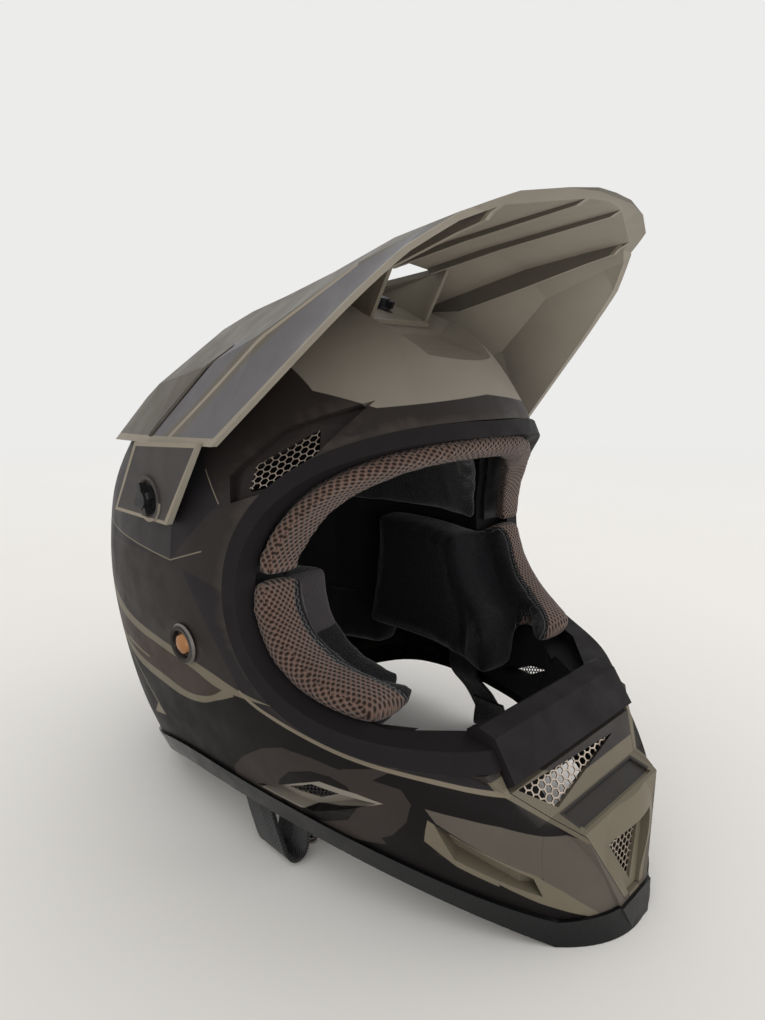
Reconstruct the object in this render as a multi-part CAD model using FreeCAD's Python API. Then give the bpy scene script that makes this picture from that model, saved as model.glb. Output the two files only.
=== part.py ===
import FreeCAD, Part
import math
import os

from FreeCAD import Vector

# Motocross helmet: composite shell with a chin bar, foam and fabric lining, rubber edge
# trims, metal vent meshes, a chin strap with two D-rings, and an adjustable sun peak held
# by three thumb screws.
#
# Frame: +Z up, -Y forward (the face), wearer's right at -X. Symmetric about X = 0 apart
# from the chin strap. The helmet stands on its base trim at z = 0, and the origin lies
# under the middle of its bounding box. Lengths are millimetres.
#
# Forms are described about the head axis, a vertical line HEAD_AXIS_Y behind the origin,
# on a medium shell. SX, SY and SZ carry those places to the size that is asked for.

SHELL_WIDTH = 236.0
SHELL_LENGTH = 362.0
SHELL_HEIGHT = 285.0
SX = SHELL_WIDTH / 236.0
SY = SHELL_LENGTH / 362.0
SZ = SHELL_HEIGHT / 285.0

SHELL_WALL = 4.2
FOAM_THICKNESS = 26.0
CHIN_FOAM_THICKNESS = 17.0
PIECE_GAP = 0.3
CROWN_PAD_THICKNESS = 9.0
CHEEK_PAD_THICKNESS = 26.0
RIM_BEAD_HEIGHT = 12.0
RIM_BEAD_PROUD = 1.6
HEAD_AXIS_Y = 36.0 * SY + RIM_BEAD_PROUD / 2
RIM_BEAD_LIP = 2.6
RIM_OVERLAP = 7.0
TILT_Y = -12.0 * SY
TILT_Z = 182.0 * SZ
SLIDE_RADIUS = 101.1 * SZ
SLIDE_END_DEG = 36.5
TROUGH_END = (-112, 249.5)
TROUGH_FLOOR = 24.0
TROUGH_TOP = 42.0
TROUGH_FLARE = 16.0
EYEPORT_TRIM_WIDTH = 8.0
EYEPORT_TRIM_PROUD = 1.8
SEAT_GAP = 0.2
EYEPORT_TRIM_LIP = 3.3
VENT_DEPTH = 4.4
VENT_WALL = 2.6
MESH_THICKNESS = 0.9
MESH_WIRE = 0.9
PEAK_WALL = 2.8
PEAK_TAB_WALL = 3.2
TAB_INNER_X = 118.0 * SX
BRACKET_WALL = 2.4
BRACKET_HALF_WIDTH = 22.0
TILT_MIN_DEG = -3.0
TILT_MAX_DEG = 4.0
SCREW_RADIUS = 2.5
SCREW_PLAY = 0.05
SCREW_CLEARANCE = 0.35
KNOB_RADIUS = 8.0
KNOB_HEIGHT = 5.5
NUT_FLANGE = 6.0
NUT_FLANGE_THICKNESS = 1.4
GROMMET_RADIUS = 8.5
RIVET_RADIUS = 6.0
RIVET_SHANK = 2.4
RIVET_Y = -31.0 * SY
RIVET_Z = 111.0 * SZ
NUT_BARREL = 3.6
NUT_CLEARANCE = 2.3
CENTRE_SCREW_DEG = 21.8
WEBBING_WIDTH = 25.0
WEBBING_THICKNESS = 2.2
D_RING_WIRE = 3.2
D_RING_DEPTH = 21.0
STRAP_LOOP_GAP = 0.2
ANCHOR_THICKNESS = 1.6

# Side profiles from the base up to the crown, about the head axis: reach, height.
FRONT_PROFILE = [(-216, -20), (-216, 0), (-215, 25), (-207, 55), (-190, 76), (-174, 92), (-162, 120),
                 (-150, 150), (-142, 180), (-134, 210), (-121, 238), (-104, 260), (-78, 276), (-36, 285)]
REAR_PROFILE = [(104, -20), (110, 0), (121, 30), (131, 60), (140, 90), (145, 120), (144, 150),
                (136, 180), (118, 210), (91, 236), (54, 260), (10, 277), (-36, 285)]
SIDE_PROFILE = [(83, -20), (89, 0), (101, 30), (110, 60), (115, 90), (118, 120), (118, 150),
                (115, 180), (106, 210), (91, 236), (69, 258), (37, 277), (0, 285)]
# Fullness of the plan outline by height: the exponents of its front and rear halves, and
# where the shell is widest, measured back from the head axis.
PLAN_HEIGHTS = [-20, 30, 60, 88, 120, 180, 235, 285]
PLAN_FRONT_POWER = [2.1, 2.2, 2.4, 2.7, 2.35, 2.2, 2.05, 2.0]
PLAN_REAR_POWER = [2.2, 2.3, 2.3, 2.3, 2.3, 2.2, 2.0, 2.0]
PLAN_WIDEST = [-10, 0, 0, 0, 0, 0, -10, -36]
RING_POINTS = 24
KNEE = 200.0

# The opening for the face, in side view, from the brow round the temple to the chin.
EYEPORT_EDGE = [(-131, 213), (-108, 205), (-86, 189), (-72, 165), (-70, 140), (-79, 117),
                (-102, 99), (-140, 89.5), (-172, 86.5)]
# The bottom edge in side view: down on the chin and the nape, arched over the shoulders.
RIM_EDGE = [(-200, 0), (-172, 11.5), (-140, 21.5), (-95, 29.5), (-40, 32), (10, 27), (50, 13), (84, 0)]

# The snout, on the left-hand side: the lip's corner, the shelf's corner and the nose.
SNOUT_LIP = (57, -180, 72)
SNOUT_SHELF = (34, -207, 54)
SNOUT_NOSE = (8, -216.5, 3)
SNOUT_STEP = (-193, 57)
SNOUT_LIP_TOP = (-169, 88)
SNOUT_BACK_Y = -128


def spot(x, y, z):
    return Vector(x * SX, y * SY, z * SZ)


def export(name, shape):
    placed = shape.copy()
    placed.translate(Vector(0, HEAD_AXIS_Y, 0))
    placed.exportStep("parts/" + name + ".step")


def mirrored(shape):
    return shape.mirror(Vector(0, 0, 0), Vector(1, 0, 0))


def between(value, xs, ys):
    for x0, x1, y0, y1 in zip(xs, xs[1:], ys, ys[1:]):
        if value <= x1:
            return y0 + (y1 - y0) * (value - x0) / (x1 - x0)
    return ys[-1]


def dense_profile(points, reach_scale):
    curve = Part.BSplineCurve()
    curve.interpolate([Vector(r * reach_scale, 0, z * SZ) for r, z in points])
    first, last = curve.FirstParameter, curve.LastParameter
    steps = 400
    params = [first + (last - first) * i / steps for i in range(steps + 1)]
    return [(curve.value(u), curve.tangent(u)[0]) for u in params]


PROFILES = {
    "front": dense_profile([(-r, z) for r, z in FRONT_PROFILE], SY),
    "rear": dense_profile(REAR_PROFILE, SY),
    "side": dense_profile(SIDE_PROFILE, SX),
}


def reach(which, inset, z):
    """How far the skin, moved inwards by inset, stands from the head axis at height z."""
    last = None
    for point, tangent in PROFILES[which]:
        here = (point.z + tangent.x * inset, point.x - tangent.z * inset)
        if here[0] >= z:
            if last is None or here[0] - last[0] < 1e-9:
                return here[1]
            return last[1] + (here[1] - last[1]) * (z - last[0]) / (here[0] - last[0])
        last = here
    return last[1]


def plan(inset, z):
    """The plan outline at height z: half width, place of the widest point, then the depth
    and the exponent of its front half and of its rear half."""
    level = z / SZ
    if level > KNEE:
        level = KNEE + (level - KNEE) * (PLAN_HEIGHTS[-1] - KNEE) / ((SHELL_HEIGHT - inset) / SZ - KNEE)
    widest = between(level, PLAN_HEIGHTS, PLAN_WIDEST) * SY
    front = (reach("front", inset, z) + widest, between(level, PLAN_HEIGHTS, PLAN_FRONT_POWER))
    rear = (reach("rear", inset, z) - widest, between(level, PLAN_HEIGHTS, PLAN_REAR_POWER))
    return reach("side", inset, z), widest, front, rear


def is_inside(inset):
    """Surfaces at or below the shell's inner face are flat-sided between their corners."""
    return inset >= SHELL_WALL


def ring(inset, z):
    """The plan outline at height z as a closed wire, smooth on the outside of the shell."""
    half_width, widest, front, rear = plan(inset, z)
    points = []
    for i in range(RING_POINTS):
        angle = 2 * math.pi * i / RING_POINTS
        c, s = math.cos(angle), math.sin(angle)
        depth, power = front if c > 0 else rear
        radius = (abs(s / half_width) ** power + abs(c / depth) ** power) ** (-1 / power)
        points.append(Vector(radius * s, widest - radius * c, z))
    if is_inside(inset):
        return Part.makePolygon(points + points[:1])
    curve = Part.BSplineCurve()
    curve.interpolate(Points=points, PeriodicFlag=True,
                      Parameters=[float(i) for i in range(RING_POINTS + 1)])
    return Part.Wire([curve.toShape()])


def dome(inset):
    """The shell form without its snout moved inwards by inset, solid, reaching below the rim."""
    crown = SHELL_HEIGHT - inset
    knee = KNEE * SZ
    foot = -18 * SZ + inset
    heights = [foot + (knee - foot) * i / 9 for i in range(10)]
    heights += [knee + (crown - knee) * math.sin(math.radians(a)) for a in (14, 28, 42, 55, 66, 74, 80)]
    return Part.makeLoft([ring(inset, z) for z in heights], True, is_inside(inset))


def across(points, half_width=200.0, grow=0.0):
    """A closed side-view outline of (y, z) points, drawn right across the helmet."""
    corners = [Vector(-half_width, y, z) for y, z in points]
    face = Part.Face(Part.makePolygon(corners + corners[:1]))
    if grow:
        face = face.makeOffset2D(grow)
    return face.extrude(Vector(2 * half_width, 0, 0))


def edge_and_lines(points, half_width, grow, corners):
    """A side-view solid bounded by a smooth line, moved to its left by grow, and by corners."""
    curve = Part.BSplineCurve()
    curve.interpolate([Vector(-half_width, y, z) for y, z in points])
    edge = []
    for y, z in points:
        tangent = curve.tangent(curve.parameter(Vector(-half_width, y, z)))[0]
        edge.append(Vector(-half_width, y - tangent.z * grow, z + tangent.y * grow))
    smooth = Part.BSplineCurve()
    smooth.interpolate(edge)
    turns = [edge[-1]] + [Vector(-half_width, *c) for c in corners(edge[0], edge[-1])] + [edge[0]]
    lines = [Part.makeLine(a, b) for a, b in zip(turns, turns[1:])]
    return Part.Face(Part.Wire([smooth.toShape()] + lines)).extrude(Vector(2 * half_width, 0, 0))


def scaled(points):
    return [(y * SY, z * SZ) for y, z in points]


def eyeport(grow, half_width=200.0):
    """The face opening, drawn across the helmet; grow moves its edge outwards."""
    front = -300 * SY
    return edge_and_lines(scaled(EYEPORT_EDGE), half_width, grow,
                          lambda top, bottom: [(front, bottom.z), (front, top.z)])


def under_rim(lift, half_width=200.0):
    """Everything below the bottom edge line, raised by lift."""
    far, deep = 300 * SY, -80.0
    points = [(y, z + lift) for y, z in scaled(RIM_EDGE)]
    return edge_and_lines(points, half_width, 0,
                          lambda chin, nape: [(far, nape.z), (far, deep), (-far, deep), (-far, chin.z)])


def keep_behind(solid, point, normal):
    """Cut away what lies in front of a plane."""
    size = 900.0
    blocker = Part.makeBox(size, size, size, Vector(-size / 2, -size / 2, 0))
    blocker.Placement = FreeCAD.Placement(point, FreeCAD.Rotation(Vector(0, 0, 1), normal))
    return solid.cut(blocker)


def snout_side(side):
    """The chin's side facet: a point on it and its outward normal."""
    lip, shelf, nose = (spot(side * x, y, z) for x, y, z in (SNOUT_LIP, SNOUT_SHELF, SNOUT_NOSE))
    normal = (shelf - lip).cross(nose - lip)
    normal.normalize()
    if normal.x * side < 0:
        normal = normal * -1
    return lip, normal


def chin_relief():
    """Space in front of the lip and the shelf, in side view."""
    step = SNOUT_STEP
    shelf = SNOUT_SHELF[1:]
    lip = SNOUT_LIP[1:]
    return scaled([(-300, shelf[1] - 0.25 * (shelf[0] + 300)), shelf, step, lip, SNOUT_LIP_TOP, (-300, 100)])


def snout(inset):
    """The faceted nose of the chin bar moved inwards by inset."""
    deep = SNOUT_BACK_Y * SY
    block = box((-120 * SX, 120 * SX), (-260 * SY, deep), (-18 * SZ + inset, 82 * SZ))
    for side in (-1, 1):
        point, normal = snout_side(side)
        block = keep_behind(block, point - normal * inset, normal)
    shelf, nose = spot(0, *SNOUT_SHELF[1:]), spot(0, *SNOUT_NOSE[1:])
    slope = nose - shelf
    front = Vector(0, slope.z, -slope.y)
    front.normalize()
    block = keep_behind(block, shelf - front * inset, front)
    return block


def slide_point(radius, angle_deg):
    """A side-view point on an arc about the tilt axis, its angle forward of straight up."""
    a = math.radians(angle_deg)
    return TILT_Y - radius * math.sin(a), TILT_Z + radius * math.cos(a)


def crown_trough(inset):
    """The trough in the crown in which the peak's centre bracket slides, with flared sides."""
    arc = [slide_point(SLIDE_RADIUS - inset, a) for a in (-12, -4, 4, 12, 20, 28, 32, SLIDE_END_DEG)]
    fade = (TROUGH_END[0] * SY, TROUGH_END[1] * SZ - inset)
    beyond = (2 * fade[0] - arc[-1][0], 2 * fade[1] - arc[-1][1])
    sky = 340 * SZ
    line = [(arc[0][0], sky)] + arc + [fade, beyond, (beyond[0], sky)]
    stations = [(TROUGH_TOP + inset, TROUGH_FLARE), (TROUGH_FLOOR + inset, 0)]
    wires = []
    for x, lift in stations + [(-x, lift) for x, lift in reversed(stations)]:
        corners = [Vector(-x, y, z + lift) for y, z in line]
        wires.append(Part.makePolygon(corners + corners[:1]))
    return Part.makeLoft(wires, True, True)


_bodies = {}


def body(inset):
    """The outer form of shell and chin, moved inwards by inset."""
    if inset not in _bodies:
        form = dome(inset).fuse(snout(inset))
        form = form.cut(across(chin_relief(), grow=inset))
        _bodies[inset] = form.cut(crown_trough(inset))
    return _bodies[inset]


def hollow(outer, inner):
    """A closed form with another, wholly inside it, taken out."""
    return Part.makeSolid(Part.makeCompound([outer.Shells[0], inner.Shells[0].reversed()]))


def layer(outer_inset, inner_inset):
    """The space between two depths below the outer form."""
    return hollow(body(outer_inset), body(inner_inset))


def dome_layer(outer_inset, inner_inset):
    return hollow(dome(outer_inset), dome(inner_inset))


def box(x, y, z):
    """A block between pairs of limits."""
    return Part.makeBox(x[1] - x[0], y[1] - y[0], z[1] - z[0], Vector(x[0], y[0], z[0]))


def skin_x(y, z):
    """Half the shell's width at a place in side view."""
    half_width, widest, front, rear = plan(0, z)
    depth, power = front if y < widest else rear
    return half_width * max(0.0, 1 - (abs(y - widest) / depth) ** power) ** (1 / power)


class Place:
    """A spot with its own axes: ahead and up along the surface, and outward."""

    def __init__(self, origin, out, ahead):
        self.origin = origin
        self.out = Vector(out).normalize()
        self.ahead = (ahead - self.out * ahead.dot(self.out)).normalize()
        self.up = self.out.cross(self.ahead)
        if self.up.z < 0:
            self.up = self.up * -1

    def at(self, ahead, up, out):
        return self.origin + self.ahead * ahead + self.up * up + self.out * out

    def prism(self, outline, low, high, grow=0.0):
        """An outline of (ahead, up) points, grown, raised from low to high along outward."""
        corners = [self.at(a, b, low) for a, b in outline]
        face = Part.Face(Part.makePolygon(corners + corners[:1]))
        if grow:
            face = face.makeOffset2D(grow)
        return face.extrude(self.out * (high - low))

    def disc(self, radius, low, high):
        return Part.makeCylinder(radius, high - low, self.at(0, 0, low), self.out)

    def turned(self, profile):
        """A closed (radius, out) profile turned round the outward axis."""
        corners = [self.at(r, 0, h) for r, h in profile]
        return Part.Face(Part.makePolygon(corners + corners[:1])).revolve(self.origin, self.out, 360)

    def mesh(self, outline, low, pitch):
        """A flat sheet of hexagonal holes filling an outline."""
        holes = []
        cell = (pitch - MESH_WIRE) / math.sqrt(3)
        for row in range(-12, 13):
            for column in range(-12, 13):
                a = (column + 0.5 * (row % 2)) * pitch
                b = row * pitch * math.sqrt(3) / 2
                if depth_inside(outline, a, b) > cell + MESH_WIRE / 2:
                    angles = [math.radians(30 + 60 * i) for i in range(6)]
                    ring6 = [self.at(a + cell * math.cos(t), b + cell * math.sin(t), low) for t in angles]
                    holes.append(Part.makePolygon(ring6 + ring6[:1]))
        corners = [self.at(a, b, low) for a, b in outline]
        rim = Part.makePolygon(corners + corners[:1])
        face = Part.Face(rim).makeOffset2D(-SEAT_GAP)
        if holes:
            face = face.cut([Part.Face(h) for h in holes])
        return face.extrude(self.out * MESH_THICKNESS)


def depth_inside(outline, a, b):
    """How far a point lies inside a convex outline, negative when it is outside."""
    turn = 0.0
    for (a0, b0), (a1, b1) in zip(outline, outline[1:] + outline[:1]):
        turn += a0 * b1 - a1 * b0
    side = math.copysign(1, turn)
    gaps = []
    for (a0, b0), (a1, b1) in zip(outline, outline[1:] + outline[:1]):
        length = math.hypot(a1 - a0, b1 - b0)
        gaps.append(side * ((a1 - a0) * (b - b0) - (b1 - b0) * (a - a0)) / length)
    return min(gaps)


def skin_place(y, z, side, aim=None):
    """A place on the shell's side whose ahead axis points at another (y, z) place."""
    step = 0.5
    x = skin_x(y, z)
    slope_y = (skin_x(y + step, z) - skin_x(y - step, z)) / (2 * step)
    slope_z = (skin_x(y, z + step) - skin_x(y, z - step)) / (2 * step)
    origin = Vector(side * x, y, z)
    ahead = Vector(0, -1, 0)
    if aim:
        ahead = Vector(side * skin_x(*aim), aim[0], aim[1]) - origin
    return Place(origin, Vector(side, -slope_y, -slope_z), ahead)


# Vents of the right-hand side: place and aim in side view, the outline of the recess, the
# outline of the mesh, both along and across the line of aim, and the mesh pitch.
BROW_VENT = {"at": (-84, 208), "aim": (-104, 219), "pitch": 5.6,
             "recess": [(-37, -9), (-33, 3), (-2, 12), (42, 10), (8, -6), (-14, -13)],
             "mesh": [(-27, -6.5), (-20, 3.5), (14, 7), (10, -3), (-16, -9)]}
JAW_VENT = {"at": (-106, 53), "aim": (-139, 61), "pitch": 4.2,
            "recess": [(-37, 0), (4, 8.5), (36, 1), (-3, -8.5)],
            "mesh": [(-19, -1.5), (2, 4.5), (23, 3), (0, -4.5)]}
SLOT_VENT = {"at": (-176, 42), "aim": (-196, 27), "pitch": 3.0,
             "recess": [(-24, 4.5), (24, 4.5), (33, -2.5), (-8, -6)],
             "mesh": [(-17, 2.8), (16, 2.8), (18, -0.2), (-14, -0.6)]}
REAR_VENT = {"at": (112, 158), "aim": (112, 178), "pitch": 5.6,
             "recess": [(-24, -9), (-17, 10), (21, 10), (24, -5)],
             "mesh": [(-18, -6), (-13, 6.5), (16, 6.5), (18, -2.5)]}
VENTS = {"brow_vent": BROW_VENT, "jaw_vent": JAW_VENT, "slot_vent": SLOT_VENT, "rear_vent": REAR_VENT}
HIGH_VENTS = ("brow_vent", "rear_vent")
LOW_VENTS = ("jaw_vent", "slot_vent")
SIDES = {"right": -1, "left": 1}
DEEP = 30.0

# The cover over the mouth vent, in front view, and its two meshes on its sloping panels.
COVER_OUTLINE = [(-53, 70), (53, 70), (33, 52), (9, 13.5), (-9, 13.5), (-33, 52)]
UPPER_MESH = [(-48, 6.5), (31, 2.5), (-31, -8.5)]
LOWER_MESH = [(-14, 11.2), (14, 11.2), (0, -11.2)]
LOWER_RECESS = [(-20, 15), (20, 15), (3, -19), (-3, -19)]
SHELF_RECESS = [(-31, -5.5), (31, -5.5), (31, 5.5), (-31, 5.5)]
COVER_BACK_Y = -150
DOORWAY = [(-53, 100), (53, 100)] + COVER_OUTLINE[1:] + COVER_OUTLINE[:1]

# The lip of the chin bar, in side view.
LIP_OUTLINE = [(-180, 71), (-184, 74.5), (-173, 91), (-164, 93), (-158, 90), (-158, 78)]
LIP_HALF_WIDTH = 52.6
LIP_END_PROUD = 1.8


def vent_place(vent, side):
    y, z = vent["at"]
    aim_y, aim_z = vent["aim"]
    return skin_place(y * SY, z * SZ, side, (aim_y * SY, aim_z * SZ))


def facing(outline, back=COVER_BACK_Y, grow=0.0):
    """A front-view outline of (x, z) points carried forward from back."""
    corners = [Vector(x * SX, back * SY, z * SZ) for x, z in outline]
    face = Part.Face(Part.makePolygon(corners + corners[:1]))
    if grow:
        face = face.makeOffset2D(grow)
    return face.extrude(Vector(0, (-260 - back) * SY, 0))


def panel_place(low, high):
    """The middle of a sloping snout panel between two side-view lines."""
    bottom, top = spot(0, *low), spot(0, *high)
    slope = top - bottom
    return Place((bottom + top) * 0.5, Vector(0, -slope.z, slope.y), Vector(1, 0, 0))


def upper_panel():
    return panel_place(SNOUT_STEP, SNOUT_LIP[1:])


def lower_panel():
    return panel_place(SNOUT_NOSE[1:], SNOUT_SHELF[1:])


def shelf_panel():
    return panel_place(SNOUT_SHELF[1:], SNOUT_STEP)


def rivet_place(side):
    return skin_place(RIVET_Y, RIVET_Z, side)


def tilt_place(side):
    """On the tilt axis at the middle of the helmet, outward to one side."""
    return Place(Vector(0, TILT_Y, TILT_Z), Vector(side, 0, 0), Vector(0, -1, 0))


def slide_place(angle_deg=CENTRE_SCREW_DEG):
    """On the tilt axis, outward along the centre screw."""
    a = math.radians(angle_deg)
    return Place(Vector(0, TILT_Y, TILT_Z), Vector(0, -math.sin(a), math.cos(a)), Vector(1, 0, 0))


def both(shapes):
    """Right-hand shapes with their mirror images."""
    return shapes + [mirrored(s) for s in shapes]


def vent_shapes(names, key, grow=0.0, deep=DEEP):
    """Vents' outlines as prisms through the skin, on the right-hand side."""
    return [vent_place(VENTS[name], -1).prism(VENTS[name][key], -deep, 20, grow) for name in names]


def vent_room(names, gap):
    """What the vents' cups fill, with a gap round them, on both sides."""
    depth = VENT_DEPTH + VENT_WALL + gap
    return both([p.cut(body(depth)) for p in vent_shapes(names, "recess", VENT_WALL + gap)])


def make_shell():
    floor, inner = body(VENT_DEPTH + VENT_WALL), body(SHELL_WALL / 2)
    edges = [eyeport(EYEPORT_TRIM_WIDTH), under_rim(RIM_BEAD_HEIGHT - RIM_OVERLAP)]
    cups = [p.common(inner).cut([floor] + edges) for p in vent_shapes(VENTS, "recess", VENT_WALL)]
    scoops = [p.cut(body(VENT_DEPTH)) for p in vent_shapes(VENTS, "recess")]
    bores = [rivet_place(-1).disc(RIVET_SHANK + SEAT_GAP, -20, 20),
             tilt_place(-1).disc(NUT_BARREL + SEAT_GAP, 80, 140)]
    middle = [slide_place().disc(NUT_BARREL + SEAT_GAP, 60, 130), facing(DOORWAY)]
    shell = layer(0, SHELL_WALL).cut(middle + edges)
    return shell.fuse(both(cups)).cut(both(scoops + bores + vent_shapes(VENTS, "mesh")))


def make_cover():
    """The mouth vent's cover, flush with the snout, its panels let in and opened for the meshes."""
    cover = layer(0, SHELL_WALL).common(facing(COVER_OUTLINE, grow=-PIECE_GAP))
    upper, lower, shelf = upper_panel(), lower_panel(), shelf_panel()
    tools = [upper.prism(UPPER_MESH, -DEEP / 2, 8), lower.prism(LOWER_RECESS, -1.8, 8),
             lower.prism(LOWER_MESH, -DEEP / 2, 8), shelf.prism(SHELF_RECESS, -1.4, 8)]
    return cover.cut(tools)


def wall_seat(lowest):
    """Room for the shell's edge inside a rubber trim."""
    return layer(-SEAT_GAP, SHELL_WALL + SEAT_GAP).cut(under_rim(lowest))


def make_base_trim():
    bead = layer(-RIM_BEAD_PROUD, SHELL_WALL + RIM_BEAD_LIP)
    bead = bead.cut(under_rim(0)).common(under_rim(RIM_BEAD_HEIGHT))
    return bead.cut(wall_seat(RIM_BEAD_HEIGHT - RIM_OVERLAP - SEAT_GAP))


def make_eyeport_trim():
    """The soft surround of the face opening with the broad lip of the chin bar."""
    band = layer(-EYEPORT_TRIM_PROUD, SHELL_WALL + EYEPORT_TRIM_LIP)
    band = band.common(eyeport(EYEPORT_TRIM_WIDTH - 2 * SEAT_GAP)).cut(eyeport(0))
    lip = lip_form(0)
    return band.fuse(lip).cut(body(SHELL_WALL + EYEPORT_TRIM_LIP))


def lip_form(grow):
    """The broad lip over the chin, its ends in line with the chin's side facets."""
    lip = across(scaled(LIP_OUTLINE), LIP_HALF_WIDTH * SX + grow, grow)
    for side in (-1, 1):
        point, normal = snout_side(side)
        lip = keep_behind(lip, point + normal * (LIP_END_PROUD + grow), normal)
    return lip


def make_port_strip():
    """The hard inner strip behind the upper half of the surround."""
    strip = dome_layer(SHELL_WALL + EYEPORT_TRIM_LIP + PIECE_GAP, SHELL_WALL + FOAM_THICKNESS - 4)
    strip = strip.common(eyeport(EYEPORT_TRIM_WIDTH - SEAT_GAP)).cut(eyeport(EYEPORT_TRIM_WIDTH - 3.6))
    return strip.common(box((-150, 150), (-200, 0), (150 * SZ, 300)))


FOAM_OUTER = SHELL_WALL + PIECE_GAP
FOAM_INNER = FOAM_OUTER + FOAM_THICKNESS
LINER_OUTER = FOAM_INNER + PIECE_GAP + 0.2
PAD_OUTER = LINER_OUTER
PORT_PAD_INSET = 9.0
PORT_PAD_BULGE = 3.0
PORT_PAD_INNER = 26.0
NECK_ROLL_THICKNESS = 24.0
PORT_PAD_EDGE = 4.0
PORT_PAD_WIDTH = 15.0
FOAM_BASE = 78.0
FOAM_SPLIT_Y = -62.0 * SY
FOAM_SPLIT_Z = 124.0 * SZ
PORT_SPLIT = 150.0


def make_foam():
    """The impact liner with its air channels, strap channels and room for fixings."""
    foam = dome_layer(FOAM_OUTER, FOAM_INNER)
    foam = foam.common(box((-150, 150), (-200, 200), (FOAM_BASE * SZ, 300)))
    tools = vent_room(HIGH_VENTS, PIECE_GAP) + both(vent_shapes(HIGH_VENTS, "mesh", deep=70.0))
    tools += [tilt_place(side).disc(NUT_FLANGE + PIECE_GAP, 98, 140) for side in (-1, 1)]
    tools += [rivet_place(side).disc(9, -14, 10) for side in (-1, 1)]
    tools += [webbing(points, WEBBING_WIDTH + 2, STRAP_ROOM) for points in STRAP_TOPS]
    tools += [eyeport(EYEPORT_TRIM_WIDTH + PIECE_GAP), crown_trough(FOAM_OUTER)]
    tools.append(box((-150, 150), (-260, FOAM_SPLIT_Y + PIECE_GAP), (0, FOAM_SPLIT_Z)))
    tools.append(slide_place().disc(NUT_FLANGE + PIECE_GAP, 80, 130))
    return foam.cut(tools)


def make_chin_foam():
    foam = layer(FOAM_OUTER, FOAM_OUTER + CHIN_FOAM_THICKNESS)
    foam = foam.common(box((-150, 150), (-260, FOAM_SPLIT_Y), (0, FOAM_SPLIT_Z - PIECE_GAP)))
    tools = vent_room(LOW_VENTS, PIECE_GAP) + both(vent_shapes(LOW_VENTS, "mesh", deep=60.0))
    tools += [eyeport(EYEPORT_TRIM_WIDTH + PIECE_GAP), under_rim(RIM_BEAD_HEIGHT + 2)]
    tools.append(lip_form(PIECE_GAP))
    tools.append(box((-30 * SX, 30 * SX), (-260, -120), (15 * SZ, 64 * SZ)))
    return max(foam.cut(tools).Solids, key=lambda piece: piece.Volume)


def make_crown_liner():
    liner = dome_layer(LINER_OUTER, LINER_OUTER + CROWN_PAD_THICKNESS)
    liner = liner.common(box((-150, 150), (-200, 200), (PORT_SPLIT * SZ, 300)))
    return liner.cut(eyeport(PORT_PAD_EDGE + 1))


def port_pad(low, high):
    """The padding that rolls round the face opening between two heights."""
    tucked = dome_layer(PORT_PAD_INSET, PORT_PAD_INNER).common(eyeport(PORT_PAD_EDGE))
    bulge = dome_layer(PORT_PAD_BULGE, PORT_PAD_INNER).common(eyeport(-PIECE_GAP))
    pad = tucked.fuse(bulge).cut(eyeport(PORT_PAD_EDGE - PORT_PAD_WIDTH))
    return pad.common(box((-150, 150), (-131 * SY, 0), (low * SZ, high * SZ)))


def make_cheek_pad(side):
    pad = dome_layer(PAD_OUTER, PAD_OUTER + CHEEK_PAD_THICKNESS)
    span = (0, 150) if side > 0 else (-150, 0)
    pad = pad.common(box(span, (-104 * SY, 20 * SY), (64 * SZ, (PORT_SPLIT - 3) * SZ)))
    return pad.cut(eyeport(PORT_PAD_EDGE + 1))


def make_neck_roll():
    roll = dome_layer(FOAM_OUTER, FOAM_OUTER + NECK_ROLL_THICKNESS)
    return roll.common(box((-150, 150), (24 * SY, 200), (38 * SZ, (FOAM_BASE - 0.4) * SZ)))


# The peak's canopy: (x, z) corners of its outer surface at stations from the rear to the front.
PEAK_SECTIONS = [
    (92, [(0, 248), (14, 247), (46, 237), (77, 215), (92, 198)]),
    (60, [(0, 267), (14, 266), (48, 256), (84, 229), (107, 203)]),
    (30, [(0, 280), (14, 279), (49, 268), (91, 237), (112, 203)]),
    (0, [(0, 289), (14, 288), (49, 276), (95, 241), (117, 204)]),
    (-30, [(0, 295.5), (14, 294), (48, 282), (94, 247), (119, 206)]),
    (-68, [(0, 301), (14, 299.5), (48, 290), (92, 259), (119, 211)]),
    (-110, [(0, 307), (14, 305.5), (50, 299.5), (73, 286), (98, 256)]),
    (-146, [(0, 310), (14, 309), (51, 304), (68, 297), (82, 287)]),
    (-190, [(0, 313.5), (14, 313), (51, 308), (60, 306), (64, 304)]),
]
PEAK_SIDE_VIEW = [(74, 205), (-68, 211), (-104, 246), (-132, 273), (-162, 301), (-200, 318),
                  (-200, 345), (20, 345), (46, 275)]
PEAK_PLAN = [(150, 110), (150, -92), (70, -162), (51, -179), (13, -185)]
PEAK_WINDOW = [(-20, -72), (20, -72), (14, -26), (-14, -26)]
PEAK_EXTENSION = 26.0
RIBS = [(1, [(-182, 1.5), (-120, 2.5), (-74, 3)]),
        (2, [(-176, 2), (-146, 5), (-110, 9), (-68, 9), (-44, 3)])]
RIB_WALL = 2.2
SIDE_GROOVE = [(3, 211), (-3, 211), (-38, 255), (-33, 256.5)]
SIDE_GROOVE_DEPTH = 1.4
TAB_OUTLINE = [(-60, 212), (0, 209), (29, 171), (-28, 171)]


def sided(points):
    """A half outline from the middle outwards, completed with its mirror image."""
    return [(-x, z) for x, z in reversed(points[1:])] + points


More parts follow.
